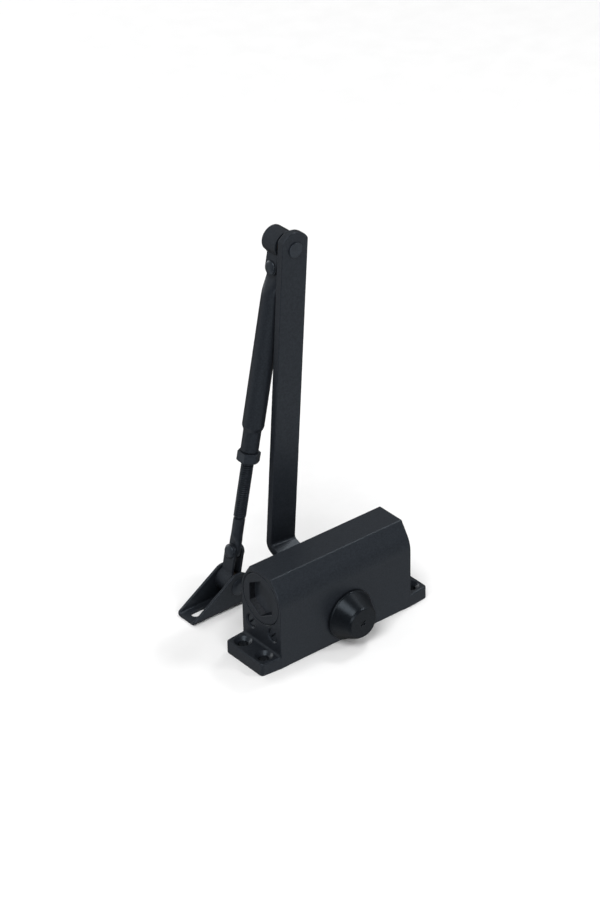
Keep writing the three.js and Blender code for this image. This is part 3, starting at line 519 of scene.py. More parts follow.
def housing_section():
    """The section in (y, z): upright walls, an arc about the bore, then a tangent up to the ridge."""
    above = HEIGHT - BORE_Z
    sweep = math.atan2(above, RIDGE_HALF) - math.acos(HALF_WIDTH / math.hypot(above, RIDGE_HALF))
    right = arc((0, BORE_Z), HALF_WIDTH, 0, sweep, 24)
    left = [(-y, z) for y, z in reversed(right)]
    return rounded([(HALF_WIDTH, 0, FOOT_ROUND), *right, (RIDGE_HALF, HEIGHT, RIDGE_ROUND),
                    (-RIDGE_HALF, HEIGHT, RIDGE_ROUND), *left, (-HALF_WIDTH, 0, FOOT_ROUND)])


def flange(side):
    inner = END_FACE - FLANGE.overlap
    half = HALF_WIDTH - FLANGE.shy
    tip = HALF_WIDTH - FLANGE.taper
    corners = [(inner, -half), (END_FACE, -half), (FLANGE_TIP, -tip, FLANGE.corner),
               (FLANGE_TIP, tip, FLANGE.corner), (END_FACE, half), (inner, half)]
    outline = [(side * x, y) for x, y in rounded(corners, 10)]
    return plate("z", outline, 0, FLANGE.top, FLANGE.foot_edge, FLANGE.edge)


def flange_fillet(side):
    radius, root, top = FILLET.radius, FILLET.root, FLANGE.top
    curve = arc((END_FACE + radius, top + radius), radius, -math.pi / 2, -math.pi, 8)
    outline = [(END_FACE - root, top - root), (END_FACE + radius, top - root), *curve,
               (END_FACE - root, top + radius)]
    return plate("y", [(side * x, z) for x, z in outline], -FILLET.half_width, FILLET.half_width)


def fixing_hole(x, y):
    top, lip = FLANGE.top, FIXING.lip
    return turned("z", [
        (FIXING.radius + lip, -BEYOND), (FIXING.radius + lip, 0), (FIXING.radius, lip),
        (FIXING.radius, top - FIXING.depth), (FIXING.sink, top - lip / 2),
        (FIXING.sink + lip, top), (FIXING.sink + lip, top + BEYOND),
    ], (x, y, 0), SMALL_ROUND)


def end_hole(side, radius, depth, lip, y=0.0, z=BORE_Z, segments=ROUND, taper=0.0):
    """A hole from an end face inwards, with a chamfered mouth and perhaps a tapered bottom."""
    profile = [(radius - taper, END_FACE - depth), (radius, END_FACE - depth + taper / 2), (radius, END_FACE - lip),
               (radius + lip, END_FACE), (radius + lip, END_FACE + BEYOND)]
    return turned("x", profile, (0, y, z), segments, side=side)


def housing():
    block = plate("x", housing_section(), -END_FACE, END_FACE, BLOCK_EDGE, BLOCK_EDGE)
    added = [make(side) for side in (-1, 1) for make in (flange, flange_fillet)]
    tools = [fixing_hole(a * FIXING.x, b * FIXING.y) for a in (-1, 1) for b in (-1, 1)]
    tools += [end_hole(side, BORE.counter, BORE.depth, BORE.lip) for side in (-1, 1)]
    tools += [end_hole(-1, VALVE.hole, VALVE.depth, VALVE.lip, side * VALVE.y, VALVE.z, SMALL_ROUND,
                       VALVE.hole - VALVE.passage) for side in (-1, 1)]
    tools.append(drill("x", BORE.radius, -END_FACE, END_FACE, (0, 0, BORE_Z), segments=ROUND))
    tools.append(drill("y", CHAMBER.radius, -HALF_WIDTH, HALF_WIDTH, PINION_AXIS, CHAMBER.lip, ROUND))
    return cut(join(block, *added), *tools)


add_piece("housing", housing(), "housing", "black_paint", "body_casting")

# ---- end plugs, valve screws and retainers

PLUG = Sizes(thickness=9.0, edge=0.55, back_edge=0.4, hex=22.0, hex_depth=4.2, hex_lip=0.2, hex_corner=0.7,
             groove=15.4, groove_span=(6.6, 4.6))
SOCKET_WALL = Sizes(off_mouth=0.3, off_bottom=0.1, wider=0.3)  # bounds of the faces left bare
SCREW = Sizes(radius=3.9, recess=1.2, length=8.5, edge=0.35, edge_step=0.1, slot=1.2, slot_depth=1.5, slot_lip=0.12,
              slot_turn=-45, shoulder=1.6, needle=0.8, needle_end=1.5, tip=0.1, tip_end=2.0)
SCREW_GROOVE = Sizes(start=5.45, end=6.95, radius=3.0)
RETAINER = Sizes(radius=13.9, edge=0.4, inner=12.7, outer=18.7, bearing=11.1, seal=10.4, seal_edge=0.3, waist=9.2,
                 waist_from=16.1, waist_to=16.6, keyhole=0.9, keyhole_at=12.1, keyhole_depth=1.8)


def hex_socket(axis, flats, bottom, face, lip, corner, centre, start):
    """A hexagonal recess from a face down to its bottom, with a chamfered mouth."""
    outline = rounded([(x, y, corner) for x, y in polygon(6, flats, start)], 5)
    outward = math.copysign(1, face - bottom)
    layers = [(0, bottom), (0, face - outward * lip), (-lip, face), (-lip, face + outward * BEYOND)]
    points, faces = layered(axis, outline, layers)
    return points + np.array(centre), faces


def end_plug(side):
    radius, groove = PLUG_RADIUS, PLUG.groove
    back, groove_to, groove_from = (END_FACE - depth for depth in (PLUG.thickness, *PLUG.groove_span))
    profile = rounded([
        (radius, back, PLUG.back_edge), (radius, groove_to), (groove, groove_to), (groove, groove_from),
        (radius, groove_from), (radius, END_FACE, PLUG.edge), (0, END_FACE),
    ], 4, closed=False)[:-1]
    profile.insert(0, (radius - PLUG.back_edge, back))
    body = turned("x", profile, (0, 0, BORE_Z), ROUND * 2, side=side)
    bottom = side * (END_FACE - PLUG.hex_depth)
    return cut(body, hex_socket("x", PLUG.hex, bottom, side * END_FACE, PLUG.hex_lip, PLUG.hex_corner,
                                (0, 0, BORE_Z), math.pi / 6))


def valve_screw(side):
    s, groove = SCREW, SCREW_GROOVE
    face = -END_FACE + s.recess
    shoulder = face + s.length
    radius, first, last = s.radius, groove.start - END_FACE, groove.end - END_FACE
    body = turned("x", [
        (radius - s.edge, face), (radius - s.edge_step, face + s.edge_step), (radius, face + s.edge),
        (radius, first), (groove.radius, first), (groove.radius, last), (radius, last),
        (radius, shoulder - BEYOND), (s.shoulder, shoulder), (s.needle, shoulder + s.needle_end),
        (s.tip, shoulder + s.tip_end),
    ], (0, 0, 0), SMALL_ROUND)
    half, reach, lip = s.slot / 2, 1.5 * radius, s.slot_lip
    outline = [(-reach, -half), (reach, -half), (reach, half), (-reach, half)]
    layers = [(0, face + s.slot_depth), (0, face + lip), (-lip, face), (-lip, face - BEYOND)]
    slot = layered("x", outline, layers)
    turn = Matrix.Rotation(math.radians(s.slot_turn), 4, "X")
    place = Matrix.Translation((0, side * VALVE.y, VALVE.z))
    return moved(cut(body, moved(slot, turn)), place)


def retainer(side):
    r = RETAINER
    profile = rounded([
        (r.bearing, r.inner), (r.radius, r.inner, r.edge), (r.radius, r.outer, r.edge),
        (r.seal, r.outer, r.seal_edge), (r.seal, r.waist_to), (r.waist, r.waist_to),
        (r.waist, r.waist_from), (r.bearing, r.waist_from),
    ], 4)
    body = turned("y", profile, PINION_AXIS, hollow=True, side=side)
    keyhole = [(r.keyhole, r.outer - r.keyhole_depth), (r.keyhole, r.outer + BEYOND)]
    return cut(body, *[turned("y", keyhole, (PINION[0] + hand * r.keyhole_at, 0, PINION[2]), 24, side=side)
                       for hand in (-1, 1)])


for place, side in (("front", -1), ("rear", 1)):
    plug = add_piece(f"plug_{place}", end_plug(side), "housing", "black_paint", f"end_plug_{place}")
    plug.data.materials.append(SOCKET_STEEL)
    for facet in plug.data.polygons:
        x, y, z = facet.center / MM
        in_wall = SOCKET_WALL.off_mouth < END_FACE - side * x < PLUG.hex_depth - SOCKET_WALL.off_bottom
        if in_wall and math.hypot(y, z - BORE_Z) < PLUG.hex / math.sqrt(3) + SOCKET_WALL.wider:
            facet.material_index = 1
for duty, side in (("closing", 1), ("latching", -1)):
    add_piece(f"{duty}_screw", valve_screw(side), f"{duty}_valve", "blackened_steel", f"valve_screw_{duty}")
for place, side in (("cap_side", -1), ("arm_side", 1)):
    add_piece(f"retainer_{place}", retainer(side), "housing", "blackened_steel", f"pinion_retainer_{place}")

# ---- cap, arm and what is fixed to it

ARM_PLACE = Matrix.Translation(PINION_AXIS) @ Matrix.Rotation(ARM_TILT, 4, "Y")
CAP = Sizes(wall=19.4, rim=16.8, rim_top=21.0, cone=16.1, shoulder=11.0, face_radius=9.9, face=33.0, skin=1.8,
            hub=7.6, mouth=8.4, mouth_end=21.0, square=9.4, square_end=29.4)
CROSS = Sizes(length=4.2, width=1.0, depth=0.9, lip=0.2, corner=0.3)
ARM = Sizes(half_width=9.8, end_radius=11.3, thickness=5.0, edge=0.55, hub_y=22.8, upper_y=49.8, hub_corner=9.68,
            upper_corner=18.38, bend=5.0, pin_hole=4.15, square=9.3)
BOLT = Sizes(end=2.3, first=12.5, shank=2.9, seat=27.2, head=5.0, face=30.9, flats=5, bottom=28.7)
WASHER = (3.2, 6.4, 25.6, 27.0)  # as ring() takes them
ELBOW_PIN = Sizes(end=2.0, head=4.85, shank=4.0, collar=5.6, collar_depth=1.0, clear=0.15)
SPACER = (4.2, 6.6)


def cap():
    c = CAP
    outer = rounded([
        (c.rim - 0.5, c.wall), (c.rim, c.wall, 0.3), (c.rim, c.rim_top, 0.7),
        (c.cone, c.rim_top + 0.3, 0.3), (c.shoulder, c.face - 1.3, 1.4),
        (c.face_radius, c.face, 0.9), (c.face_radius / 2, c.face),
    ], 8, closed=False)
    inner = c.face - c.skin - 1
    hollow = [(c.hub, c.wall - 1), (c.rim - c.skin, c.wall - 1),
              (c.rim - c.skin, c.rim_top), (c.shoulder - c.skin, inner), (c.hub, inner)]
    mouth = [(c.mouth, -c.mouth_end), (c.mouth, 1 - c.wall)]
    body = turned("y", outer, segments=ROUND * 2, side=-1)
    tools = [turned("y", hollow, hollow=True, side=-1), turned("y", mouth),
             plate("y", polygon(4, c.square, math.pi / 4), -c.square_end, 1 - c.wall)]
    half, reach, lip = CROSS.width / 2, CROSS.length / 2, CROSS.lip
    bar = rounded([(x * reach, y * half, CROSS.corner) for x, y in ((-1, -1), (1, -1), (1, 1), (-1, 1))], 4)
    layers = [(0, CROSS.depth - c.face), (0, lip - c.face), (-lip, -c.face), (-lip, -c.face - 1)]
    groove = layered("y", bar, layers)
    tools += [moved(groove, Matrix.Rotation(math.radians(turn), 4, "Y")) for turn in (45, -45)]
    return cut(body, *tools)


def main_arm():
    """Flat bar with round ends, cranked away from the housing by two bends."""
    a = ARM
    corner = math.acos(a.half_width / a.end_radius)
    path = rounded([(a.hub_y, 0), (a.hub_y, a.hub_corner, a.bend),
                    (a.upper_y, a.upper_corner, a.bend), (a.upper_y, ARM_LENGTH)], 14, closed=False)
    top = lengths_along(path)[-1]
    outline = [*arc((0, top), a.end_radius, corner, math.pi - corner, 40),
               *arc((0, 0), a.end_radius, math.pi + corner, 2 * math.pi - corner, 40)]
    half = a.thickness / 2
    blank = plate("z", outline, -half, half, a.edge, a.edge)
    square = plate("y", polygon(4, a.square, math.pi / 4), 0, a.hub_y + 2 * half)
    pin_hole = drill("y", a.pin_hole, a.upper_y - half, a.upper_y + half, (0, 0, ARM_LENGTH))
    return cut(bent(blank, path), square, pin_hole)


def ring(axis, inner, outer, first, last, edge=0.2, centre=(0, 0, 0), segments=ROUND):
    profile = rounded([(inner, first, edge), (outer, first, edge), (outer, last, edge), (inner, last, edge)], 4)
    return turned(axis, profile, centre, segments, hollow=True)


def arm_screw():
    b = BOLT
    profile = [(b.end, b.first), (b.shank, b.first + b.shank - b.end), (b.shank, b.seat),
               (b.head, b.seat, 0.15), (b.head, b.face, 0.6), (0.1, b.face)]
    body = turned("y", rounded(profile, 5, closed=False), segments=SMALL_ROUND)
    return cut(body, hex_socket("y", b.flats, b.bottom, b.face, 0.2, 0.2, (0, 0, 0), 0))


def elbow_rivet():
    near, far = span("elbow_rivet", 1)
    p = ELBOW_PIN
    face = ARM.upper_y - ARM.thickness / 2 - p.clear
    collar_face = far - p.collar_depth
    return turned("y", rounded([
        (p.end, near), (p.head, near, 0.45), (p.head, face), (p.shank, face), (p.shank, collar_face),
        (p.collar, collar_face, 0.15), (p.collar, far - 0.1, 0.7), (p.end, far),
    ], 6, closed=False), (0, 0, ARM_LENGTH), SMALL_ROUND)


for name, shape, slot, node in (
    ("spindle_cap_moulding", cap(), "black_plastic", "spindle_cap"),
    ("arm_bar", main_arm(), "black_paint", "main_arm"),
    ("arm_bolt", arm_screw(), "blackened_steel", "arm_screw"),
    ("arm_bolt_washer", ring("y", *WASHER), "blackened_steel", "arm_washer"),
    ("elbow_pin", elbow_rivet(), "blackened_steel", "elbow_rivet"),
    ("elbow_spacer", ring("y", *SPACER, *span("elbow_washer", 1), centre=(0, 0, ARM_LENGTH)), "blackened_steel",
     "elbow_washer"),
):
    add_piece(name, moved(shape, ARM_PLACE), "spindle_and_arm", slot, node)

# ---- elbow, forearm, nut and rod

FOREARM_PLACE = Matrix.Translation((ELBOW[0], 0, ELBOW[2])) @ Matrix.Rotation(FOREARM_TILT, 4, "Y")
ELBOW_STRAP = Sizes(drum=8.6, thickness=2.0, near=5.3, far=7.6, ear_half_width=5.3, ear=4.0)
SHOE_STRAP = Sizes(drum=8.1, thickness=1.8, near=6.4, far=5.3, ear_half_width=5.0, ear=3.1)
STRAP_EDGE = 0.4
STRAP_FILLET = 2.2
STRAP_WIDENS = Sizes(before=1.0, over=5.0)
CROSS_RIVET = Sizes(radius=2.6, head=4.4, dome=1.6, edge=0.1, dome_from=0.15, hole=2.75, reach=19)
RIVET_SEAT = {"elbow": 5.12, "shoe": 4.12}
SLEEVE = {"elbow": (4.2, 6.4), "shoe": (4.4, 6.25), "edge": 0.3}
TUBE = Sizes(radius=7.0, bore=5.4, flat=2.8, flat_width=6.5, flat_end=21.0, round_from=36.0, shoulder=121.4,
             neck_from=124.4, neck=5.7, neck_bore=4.25, end=138.4, bore_from=42.0, bore_full=48.0, thinned=0.15)
CIRCLE_POWER, TONGUE_POWER, ROD_END_POWER = 2.0, 3.4, 3.6  # how square a section is, for oval_ring()
NUT = Sizes(flats=13.0, first=138.8, last=145.3, bore=4.2, bore_lip=0.6, chamfer=0.9, slope=0.62, corner=0.35)
ROD = Sizes(radius=4.0, root=3.05, pitch=1.43, first=108.0, last=184.9, shank=3.75, flat_from=196.0, flat_full=202.5,
            flat=2.0, flat_width=4.7, end_thinned=0.12, samples_per_turn=8)
THREAD = Sizes(flank=1.9, trough=0.15, runout_drop=0.25, runout_slope=0.9, shank_gap=0.35)


def rivet_hole(distance):
    """The hole for a cross rivet, that far down the arm from its first pin."""
    return drill("x", CROSS_RIVET.hole, -CROSS_RIVET.reach, CROSS_RIVET.reach, (0, CHAIN_Y, -distance))


def strap(shape, rivet_distance):
    """A strip wrapped round a pin, whose ends stand side by side as ears along -Z and take a cross rivet."""
    middle = shape.drum - shape.thickness / 2
    ear, fillet = shape.ear, STRAP_FILLET
    corner_x = ear + fillet
    corner_z = math.sqrt((middle + fillet) ** 2 - corner_x**2)
    toward = math.atan2(corner_z, -corner_x)
    ear_end = rivet_distance + shape.ear_half_width
    right = [(ear, -ear_end), *arc((corner_x, -corner_z), fillet, math.pi, toward, 8)]
    around = arc((0, 0), middle, toward - math.pi, math.pi - (toward - math.pi), 72)[1:-1]
    path = [*right, *around, *[(-x, z) for x, z in reversed(right)]]
    total = lengths_along(path)[-1]
    widen_from = ear_end - corner_z - STRAP_WIDENS.before
    widen_to = widen_from + STRAP_WIDENS.over
    end = shape.ear_half_width

    def reach(along, width):
        along = min(along, total - along)
        if along < end:
            return math.sqrt(max(end**2 - (end - along) ** 2, 0))
        share = np.clip((along - widen_from) / (widen_to - widen_from), 0, 1)
        return end + (width - end) * share**2 * (3 - 2 * share)

    tips = [end * (1 - math.cos(a)) for a in np.linspace(0, math.pi / 2, 15)]
    climb = list(np.linspace(widen_from, widen_to, 10))
    places = tips + climb + [total - p for p in reversed(climb)] + [total - p for p in reversed(tips)]
    outline = [(reach(p, shape.far), p) for p in places]
    outline += [(-reach(p, shape.near), p) for p in reversed(places[1:-1])]
    half = shape.thickness / 2
    points, faces = bent(plate("z", outline, -half, half, STRAP_EDGE, STRAP_EDGE), path)
    body = oriented(points[:, [1, 0, 2]] + np.array((0, CHAIN_Y, 0)), faces)
    return cut(body, rivet_hole(rivet_distance))


def cross_rivet(seat, z):
    """A rivet along X with a domed head on each side."""
    head, dome = CROSS_RIVET.head, CROSS_RIVET.dome
    edge, base = CROSS_RIVET.edge, CROSS_RIVET.dome_from
    half = [(CROSS_RIVET.radius, seat), (head - edge, seat), (head, seat + edge)]
    half += [(head * math.cos(a), seat + base + (dome - base) * math.sin(a)) for a in np.linspace(0.05, 1.5, 14)]
    profile = [(r, -along) for r, along in reversed(half)] + half
    return turned("x", profile, (0, CHAIN_Y, z), SMALL_ROUND)


def eased(value, first, last):
    share = np.clip((value - first) / (last - first), 0, 1)
    return share * share * (3 - 2 * share)


def mixed(first, last, share):
    return first + (last - first) * share


def oval_ring(half_x, half_y, power, z, count=ROUND):
    """A ring of points across Z, between an ellipse at power 2 and a rectangle at a high power."""
    angles = np.arange(count) * 2 * math.pi / count
    c, s = np.cos(angles), np.sin(angles)
    x = half_x * np.sign(c) * np.abs(c) ** (2 / power)
    y = half_y * np.sign(s) * np.abs(s) ** (2 / power)
    return on_axis("z", x, CHAIN_Y + y, z)


def forearm_tube():
    """A tube flattened to a tongue at the elbow and necked down at the other end."""
    t = TUBE
    rings = []
    tip = ELBOW_CROSS - t.flat_width
    for angle in np.linspace(0.12, math.pi / 2, 12):
        depth = tip + t.flat_width * (1 - math.cos(angle))
        half_y = t.flat_width * math.sin(angle)
        half_x = t.flat * (1 - t.thinned * (1 - math.sin(angle)))
        rings.append(oval_ring(half_x, half_y, TONGUE_POWER, -depth))
    for depth in np.linspace(ELBOW_CROSS + 1, t.round_from, 26):
        share = eased(depth, t.flat_end, t.round_from)
        rings.append(oval_ring(mixed(t.flat, t.radius, share), mixed(t.flat_width, t.radius, share),
                               mixed(TONGUE_POWER, CIRCLE_POWER, share), -depth))
    neck = rounded([(t.radius, t.round_from + 1), (t.radius, t.shoulder, 1.6),
                    (t.neck, t.neck_from, 1.2), (t.neck, t.end, 0.4), (t.neck_bore, t.end)],
                   6, closed=False)
    rings += [oval_ring(r, r, CIRCLE_POWER, -depth) for r, depth in neck]
    bore = turned("z", [(0.5, -t.bore_from), (t.bore, -t.bore_full),
                        (t.bore, 1 - t.shoulder), (t.neck_bore, -t.shoulder),
                        (t.neck_bore, -t.end - BEYOND)], (0, CHAIN_Y, 0))
    return cut(loft(rings), bore, rivet_hole(ELBOW_CROSS))


def lock_nut():
    corner = NUT.flats / math.sqrt(3)
    drop = NUT.chamfer * NUT.slope
    outline = [(x, CHAIN_Y + y, NUT.corner) for x, y in polygon(6, NUT.flats, math.pi / 6)]
    blank = plate("z", rounded(outline, 4), -NUT.last, -NUT.first)
    ends = turned("z", [
        (corner - NUT.chamfer, -NUT.last), (corner + 0.1, -NUT.last + drop),
        (corner + 0.1, -NUT.first - drop), (corner - NUT.chamfer, -NUT.first),
    ], (0, CHAIN_Y, 0))
    bore = drill("z", NUT.bore, -NUT.last, -NUT.first, (0, CHAIN_Y, 0), NUT.bore_lip)
    return cut(common(blank, ends), bore)


def adjuster_rod():
    """A screwed rod with rolled thread, a plain shank and a flattened end."""
    r = ROD
    count = 48
    angles = np.arange(count) * 2 * math.pi / count
    rings = []
    samples = int((r.last - r.first) / r.pitch * r.samples_per_turn)
    for depth in np.linspace(r.first, r.last, samples):
        phase = (depth / r.pitch + angles / (2 * math.pi)) % 1
        ridge = np.clip(THREAD.flank * (1 - np.abs(2 * phase - 1)) - THREAD.trough, 0, 1)
        runout = min(depth - r.first, r.last - depth) * THREAD.runout_slope - THREAD.runout_drop
        crest = np.minimum(mixed(r.root, r.radius, ridge), r.root + runout)
        rings.append(on_axis("z", crest * np.cos(angles), CHAIN_Y + crest * np.sin(angles), -depth))
    rings.append(oval_ring(r.shank, r.shank, CIRCLE_POWER, -r.last - THREAD.shank_gap, count))
    for depth in np.linspace(r.last + 1, SHOE_CROSS, 24):
        share = eased(depth, r.flat_from, r.flat_full)
        rings.append(oval_ring(mixed(r.shank, r.flat, share), mixed(r.shank, r.flat_width, share),
                               mixed(CIRCLE_POWER, ROD_END_POWER, share), -depth, count))
    for angle in np.linspace(0.1, math.pi / 2 - 0.12, 10):
        half_x = r.flat * (1 - r.end_thinned * math.sin(angle))
        rings.append(oval_ring(half_x, r.flat_width * math.cos(angle), ROD_END_POWER,
                               -SHOE_CROSS - r.flat_width * math.sin(angle), count))
    return cut(loft(rings), rivet_hole(SHOE_CROSS))


def shoe_strap():
    upside_down = Matrix.Translation((0, 0, -FOREARM_LENGTH)) @ Matrix.Diagonal((1, 1, -1, 1))
    return moved(strap(SHOE_STRAP, FOREARM_LENGTH - SHOE_CROSS), upside_down)


def sleeve(end, z):
    return ring("y", *SLEEVE[end], *span(f"{end}_bushing", 1), SLEEVE["edge"], (0, 0, z))


for name, shape, body, slot, node in (
    ("elbow_strap", strap(ELBOW_STRAP, ELBOW_CROSS), "elbow", "black_paint", "elbow_knuckle"),
    ("elbow_sleeve", sleeve("elbow", 0), "elbow", "bronze", "elbow_bushing"),
    ("elbow_rivet_across", cross_rivet(RIVET_SEAT["elbow"], -ELBOW_CROSS), "elbow", "blackened_steel",
     "elbow_cross_rivet"),
    ("forearm", forearm_tube(), "forearm", "black_paint", "forearm_tube"),
    ("jam_nut", lock_nut(), "lock_nut", "blackened_steel", "lock_nut"),
    ("screwed_rod", adjuster_rod(), "rod", "blackened_steel", "adjuster_rod"),
    ("shoe_strap", shoe_strap(), "shoe_joint", "black_paint", "shoe_knuckle"),
    ("shoe_rivet_across", cross_rivet(RIVET_SEAT["shoe"], -SHOE_CROSS), "shoe_joint", "blackened_steel",
     "shoe_cross_rivet"),
    ("shoe_sleeve", sleeve("shoe", -FOREARM_LENGTH), "shoe_joint", "bronze", "shoe_bushing"),
):
    add_piece(name, moved(shape, FOREARM_PLACE), body, slot, node)

# ---- shoe

SHOE = Sizes(sheet=1.9, bend=2.2, lobe=9.2, tip_height=2.9, tip_step=1.2, back_edge=8.4, edge=0.3, above_pin=10,
             tip_corner=2.4, notch=1.6, notch_corner=0.5, tail_corner=1.0, end_corner=4.0)
SHOE_SLOT = Sizes(first=-60.6, last=-47.4, half=3.05)
SHOE_HOLE = Sizes(x=-12.6, radius=3.2)
SHOE_PIN = Sizes(radius=4.2, hole=4.35, head=6.0, far_head=5.8, depth=1.2, end=1.2, crown=4.0)


def shoe_bracket():
    """One sheet with a slot, folded up along both sides into cheeks that carry the pin."""
    (tip, near, _), (end, far, _) = box("shoe_bracket")
    sheet, bend = SHOE.sheet, SHOE.bend
    half_gap = (far - near - sheet) / 2
    middle = (far + near) / 2
    pivot_x, _, pivot_z = SHOE_PIVOT
    top = pivot_z + SHOE.above_pin
    path = rounded([(-half_gap, top), (-half_gap, sheet / 2, bend), (half_gap, sheet / 2, bend), (half_gap, top)],
                   10, closed=False)
    total = lengths_along(path)[-1]
    rise = total / 2 - top
    start = (tip + SHOE.tip_step, SHOE.tip_height)
    reach = math.hypot(pivot_x - start[0], pivot_z - start[1])
    tangent = math.atan2(pivot_z - start[1], pivot_x - start[0]) + math.asin(SHOE.lobe / reach)
    back = math.acos(SHOE.back_edge / SHOE.lobe)
    lobe = [(x, z + rise) for x, z in arc((pivot_x, pivot_z), SHOE.lobe, tangent + math.pi / 2, back, 40)]
    notch = pivot_x + SHOE.back_edge
    tail_from = notch + SHOE.notch
    flat = half_gap - bend - 0.3
    half_base = (far - near) / 2
    right = rounded([
        (tip, 0), (tip, start[1] + rise - 0.6, SHOE.tip_corner), *lobe, (notch, flat, SHOE.notch_corner),
        (tail_from, flat, SHOE.notch_corner), (tail_from, half_base, SHOE.tail_corner),
        (end, half_base, SHOE.end_corner), (end, 0),
    ], 8)[1:-1]
    outline = [*right, *[(x, -s) for x, s in reversed(right)]]
    blank = plate("z", outline, -sheet / 2, sheet / 2, SHOE.edge, SHOE.edge)
    points, faces = bent(blank, path, -total / 2)
    tail = points[:, 0] > (notch + tail_from) / 2
    flat_points, _ = sliced(blank, (lengths_along(path) - total / 2)[1:-1])
    points[tail, 1] = flat_points[tail, 1]
    points[tail, 2] = sheet / 2 - flat_points[tail, 2]
    body = oriented(points + np.array((0, middle, 0)), faces)
    half = SHOE_SLOT.half
    slot = [*arc((SHOE_SLOT.last - half, middle), half, -math.pi / 2, math.pi / 2, 24),
            *arc((SHOE_SLOT.first + half, middle), half, math.pi / 2, 3 * math.pi / 2, 24)]
    tools = [plate("z", slot, -BEYOND, sheet + BEYOND),
             drill("z", SHOE_HOLE.radius, 0, sheet, (SHOE_HOLE.x, middle, 0)),
             drill("y", SHOE_PIN.hole, near, far, (pivot_x, 0, pivot_z))]
    return cut(body, *tools)


def shoe_pin():
    (_, near, _), (_, far, _) = box("shoe_pin")
    depth, tip = SHOE_PIN.depth, SHOE_PIN.end
    head, far_head, radius = SHOE_PIN.head, SHOE_PIN.far_head, SHOE_PIN.radius
    return turned("y", rounded([
        (tip, near), (head * 0.55, near + 0.12, SHOE_PIN.crown), (head, near + depth - 0.35, 0.3),
        (head, near + depth), (radius, near + depth), (radius, far - depth), (far_head, far - depth, 0.1),
        (far_head, far - 0.15, 0.7), (tip, far),
    ], 6, closed=False), (SHOE_PIVOT[0], 0, SHOE_PIVOT[2]))


add_piece("shoe_channel", shoe_bracket(), "shoe", "black_paint", "shoe_bracket")
add_piece("shoe_hinge_pin", shoe_pin(), "shoe", "blackened_steel", "shoe_pin")

# ---- spring

SPRING = Sizes(radius=7.6, wire=1.6, turns=9, steps=40, sides=16, keep=0.67)


def main_spring(low, high):
    """A round wire coiled between the piston and the rear end plug, in its CAD node's box."""
    first, last = low[0] / MM + SPRING.wire, high[0] / MM - SPRING.wire
    height = (low[2] + high[2]) / 2 / MM
    around = np.arange(SPRING.sides) * 2 * math.pi / SPRING.sides
    whole_turn = 2 * math.pi * SPRING.turns
    rise = (last - first) / (whole_turn * SPRING.radius)
    rings = []
    for share in np.linspace(0, 1, SPRING.turns * SPRING.steps + 1):
        angle = whole_turn * share
        outward = np.array((0, math.cos(angle), math.sin(angle)))
        along = np.array((rise, -math.sin(angle), math.cos(angle)))
        across = np.cross(along / np.linalg.norm(along), outward)
        centre = np.array((first + (last - first) * share, 0, height)) + SPRING.radius * outward
        rings.append(centre + SPRING.wire * (np.outer(np.cos(around), outward) + np.outer(np.sin(around), across)))
    return loft(rings)


spring_low, spring_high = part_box("main_spring")
spring = add_piece("closing_spring", main_spring(spring_low, spring_high), "housing", "spring_steel", "main_spring")
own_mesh(spring)

# ---- CAD nodes that keep their shape

for subpart in frame["record"]["subparts"]:
    node = frame["nodes"][subpart["node"]]
    node.data.materials.clear()
    node.data.materials.append(SLOT_MATERIALS[subpart["material_slot"]])

# ---- stage, light and camera

FLOOR = Sizes(half=6.0, roughness=0.9, mottle=40, low=(0.89, 0.89, 0.89), high=(0.91, 0.91, 0.91))
WORLD = {"away": (0.529, 0.671, -0.519),
         "levels": ((0.10, 0.06), (0.38, 0.40), (0.55, 0.74), (0.73, 0.34), (0.96, 0.05))}
LIGHTS = {  # place, target, size and power
    "overhead": ((-1.35, -0.6, 2.6), (0, 0, 0), (1.6, 1.6), 50),
    "ridge": ((1.78, 0.56, 2.75), (0, 0, 0.05), (0.56, 0.56), 24),
    "edge": ((1.10, -1.08, 1.40), (0, 0, 0.05), (0.35, 0.35), 8),
    "front": ((-1.0, -1.9, 0.7), (0, 0, 0.08), (1.6, 1.1), 27),
    "back": ((-0.1, 2.1, 0.55), (0, 0, 0.1), (1.6, 0.8), 13),
}
CAMERA = {"yaw": 38.219, "pitch": 31.282, "roll": -1.378, "distance": 1.85474, "lens": 121.23,
          "right": -0.01585, "up": 0.04391, "height": 0.076, "sensor": 36, "clip": (0.05, 50)}


def add_floor():
    mesh = bpy.data.meshes.new("floor")
    h = FLOOR.half
    mesh.from_pydata([(-h, -h, 0), (h, -h, 0), (h, h, 0), (-h, h, 0)], [], [(0, 1, 2, 3)])
    floor = bpy.data.objects.new("floor", mesh)
    bpy.context.scene.collection.objects.link(floor)

    def make(tree, shader):
        shader.inputs["Roughness"].default_value = FLOOR.roughness
        shader.inputs["Specular IOR Level"].default_value = 0.0
        mottle = noise(tree, FLOOR.mottle)
        tree.links.new(blended(tree, mottle, FLOOR.low, FLOOR.high), shader.inputs["Base Color"])

    mesh.materials.append(tuned("pale_floor", make))
    floor.visible_glossy = False


def add_area(name, place, target, size, power):
    light = bpy.data.lights.new(name, "AREA")
    light.shape = "RECTANGLE"
    light.size, light.size_y = size
    light.energy = power
    lamp = bpy.data.objects.new(name, light)
    bpy.context.scene.collection.objects.link(lamp)
    aim = Matrix.Translation(place).to_translation() - Matrix.Translation(target).to_translation()
    lamp.location = place
    lamp.rotation_mode = "QUATERNION"
    lamp.rotation_quaternion = aim.to_track_quat("Z", "Y")


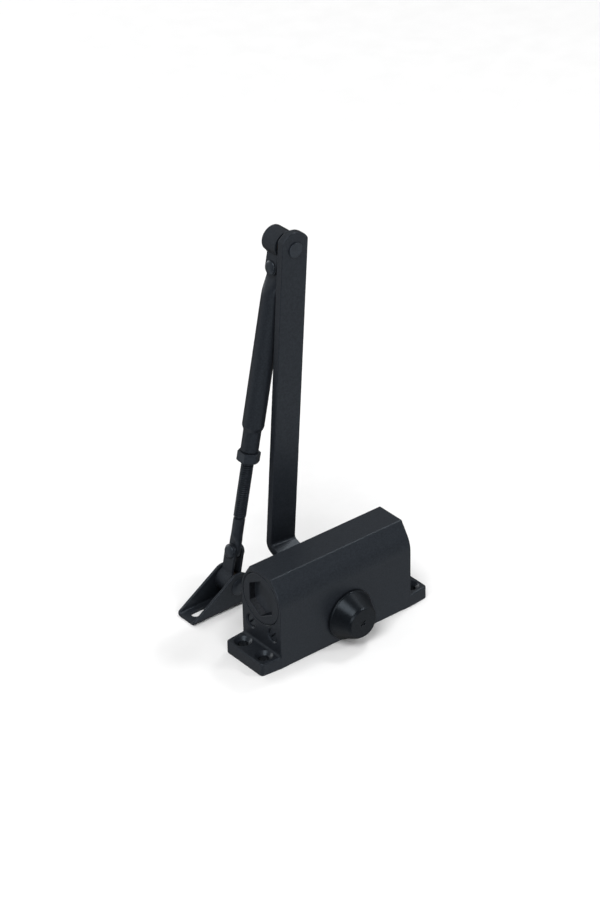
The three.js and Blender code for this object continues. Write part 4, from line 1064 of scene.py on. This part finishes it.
def add_world():
    """A studio that is bright all round and dark along one line: levels run from its near end to the far end."""
    world = bpy.data.worlds.new("studio")
    world.use_nodes = True
    tree = world.node_tree
    coordinates = tree.nodes.new("ShaderNodeTexCoord")
    facing = tree.nodes.new("ShaderNodeVectorMath")
    facing.operation = "DOT_PRODUCT"
    facing.inputs[1].default_value = WORLD["away"]
    spread = tree.nodes.new("ShaderNodeMapRange")
    spread.inputs["From Min"].default_value = -1
    ramp = tree.nodes.new("ShaderNodeValToRGB")
    ramp.color_ramp.interpolation = "EASE"
    while len(ramp.color_ramp.elements) < len(WORLD["levels"]):
        ramp.color_ramp.elements.new(0.5)
    for element, (position, level) in zip(ramp.color_ramp.elements, WORLD["levels"]):
        element.position = position
        element.color = (level, level, level, 1)
    tree.links.new(coordinates.outputs["Generated"], facing.inputs[0])
    tree.links.new(facing.outputs["Value"], spread.inputs["Value"])
    tree.links.new(spread.outputs["Result"], ramp.inputs["Fac"])
    tree.links.new(ramp.outputs["Color"], tree.nodes["Background"].inputs["Color"])
    bpy.context.scene.world = world


def add_camera():
    yaw, pitch, roll = (math.radians(CAMERA[k]) for k in ("yaw", "pitch", "roll"))
    ahead = np.array((math.sin(yaw) * math.cos(pitch), math.cos(yaw) * math.cos(pitch), -math.sin(pitch)))
    level = np.array((math.cos(yaw), -math.sin(yaw), 0))
    over = np.cross(level, ahead)
    right = math.cos(roll) * level + math.sin(roll) * over
    up = math.cos(roll) * over - math.sin(roll) * level
    aim = np.array((0, 0, CAMERA["height"])) + right * CAMERA["right"] + up * CAMERA["up"]
    data = bpy.data.cameras.new("camera")
    data.sensor_width = CAMERA["sensor"]
    data.lens = CAMERA["lens"]
    data.clip_start, data.clip_end = CAMERA["clip"]
    camera = bpy.data.objects.new("camera", data)
    bpy.context.scene.collection.objects.link(camera)
    rotation = Matrix((right, up, -ahead)).transposed().to_4x4()
    camera.matrix_world = Matrix.Translation(aim - ahead * CAMERA["distance"]) @ rotation
    bpy.context.scene.camera = camera


add_floor()
add_world()
for light_name, light_values in LIGHTS.items():
    add_area(light_name, *light_values)
add_camera()
bpy.context.scene.view_settings.view_transform = "Standard"
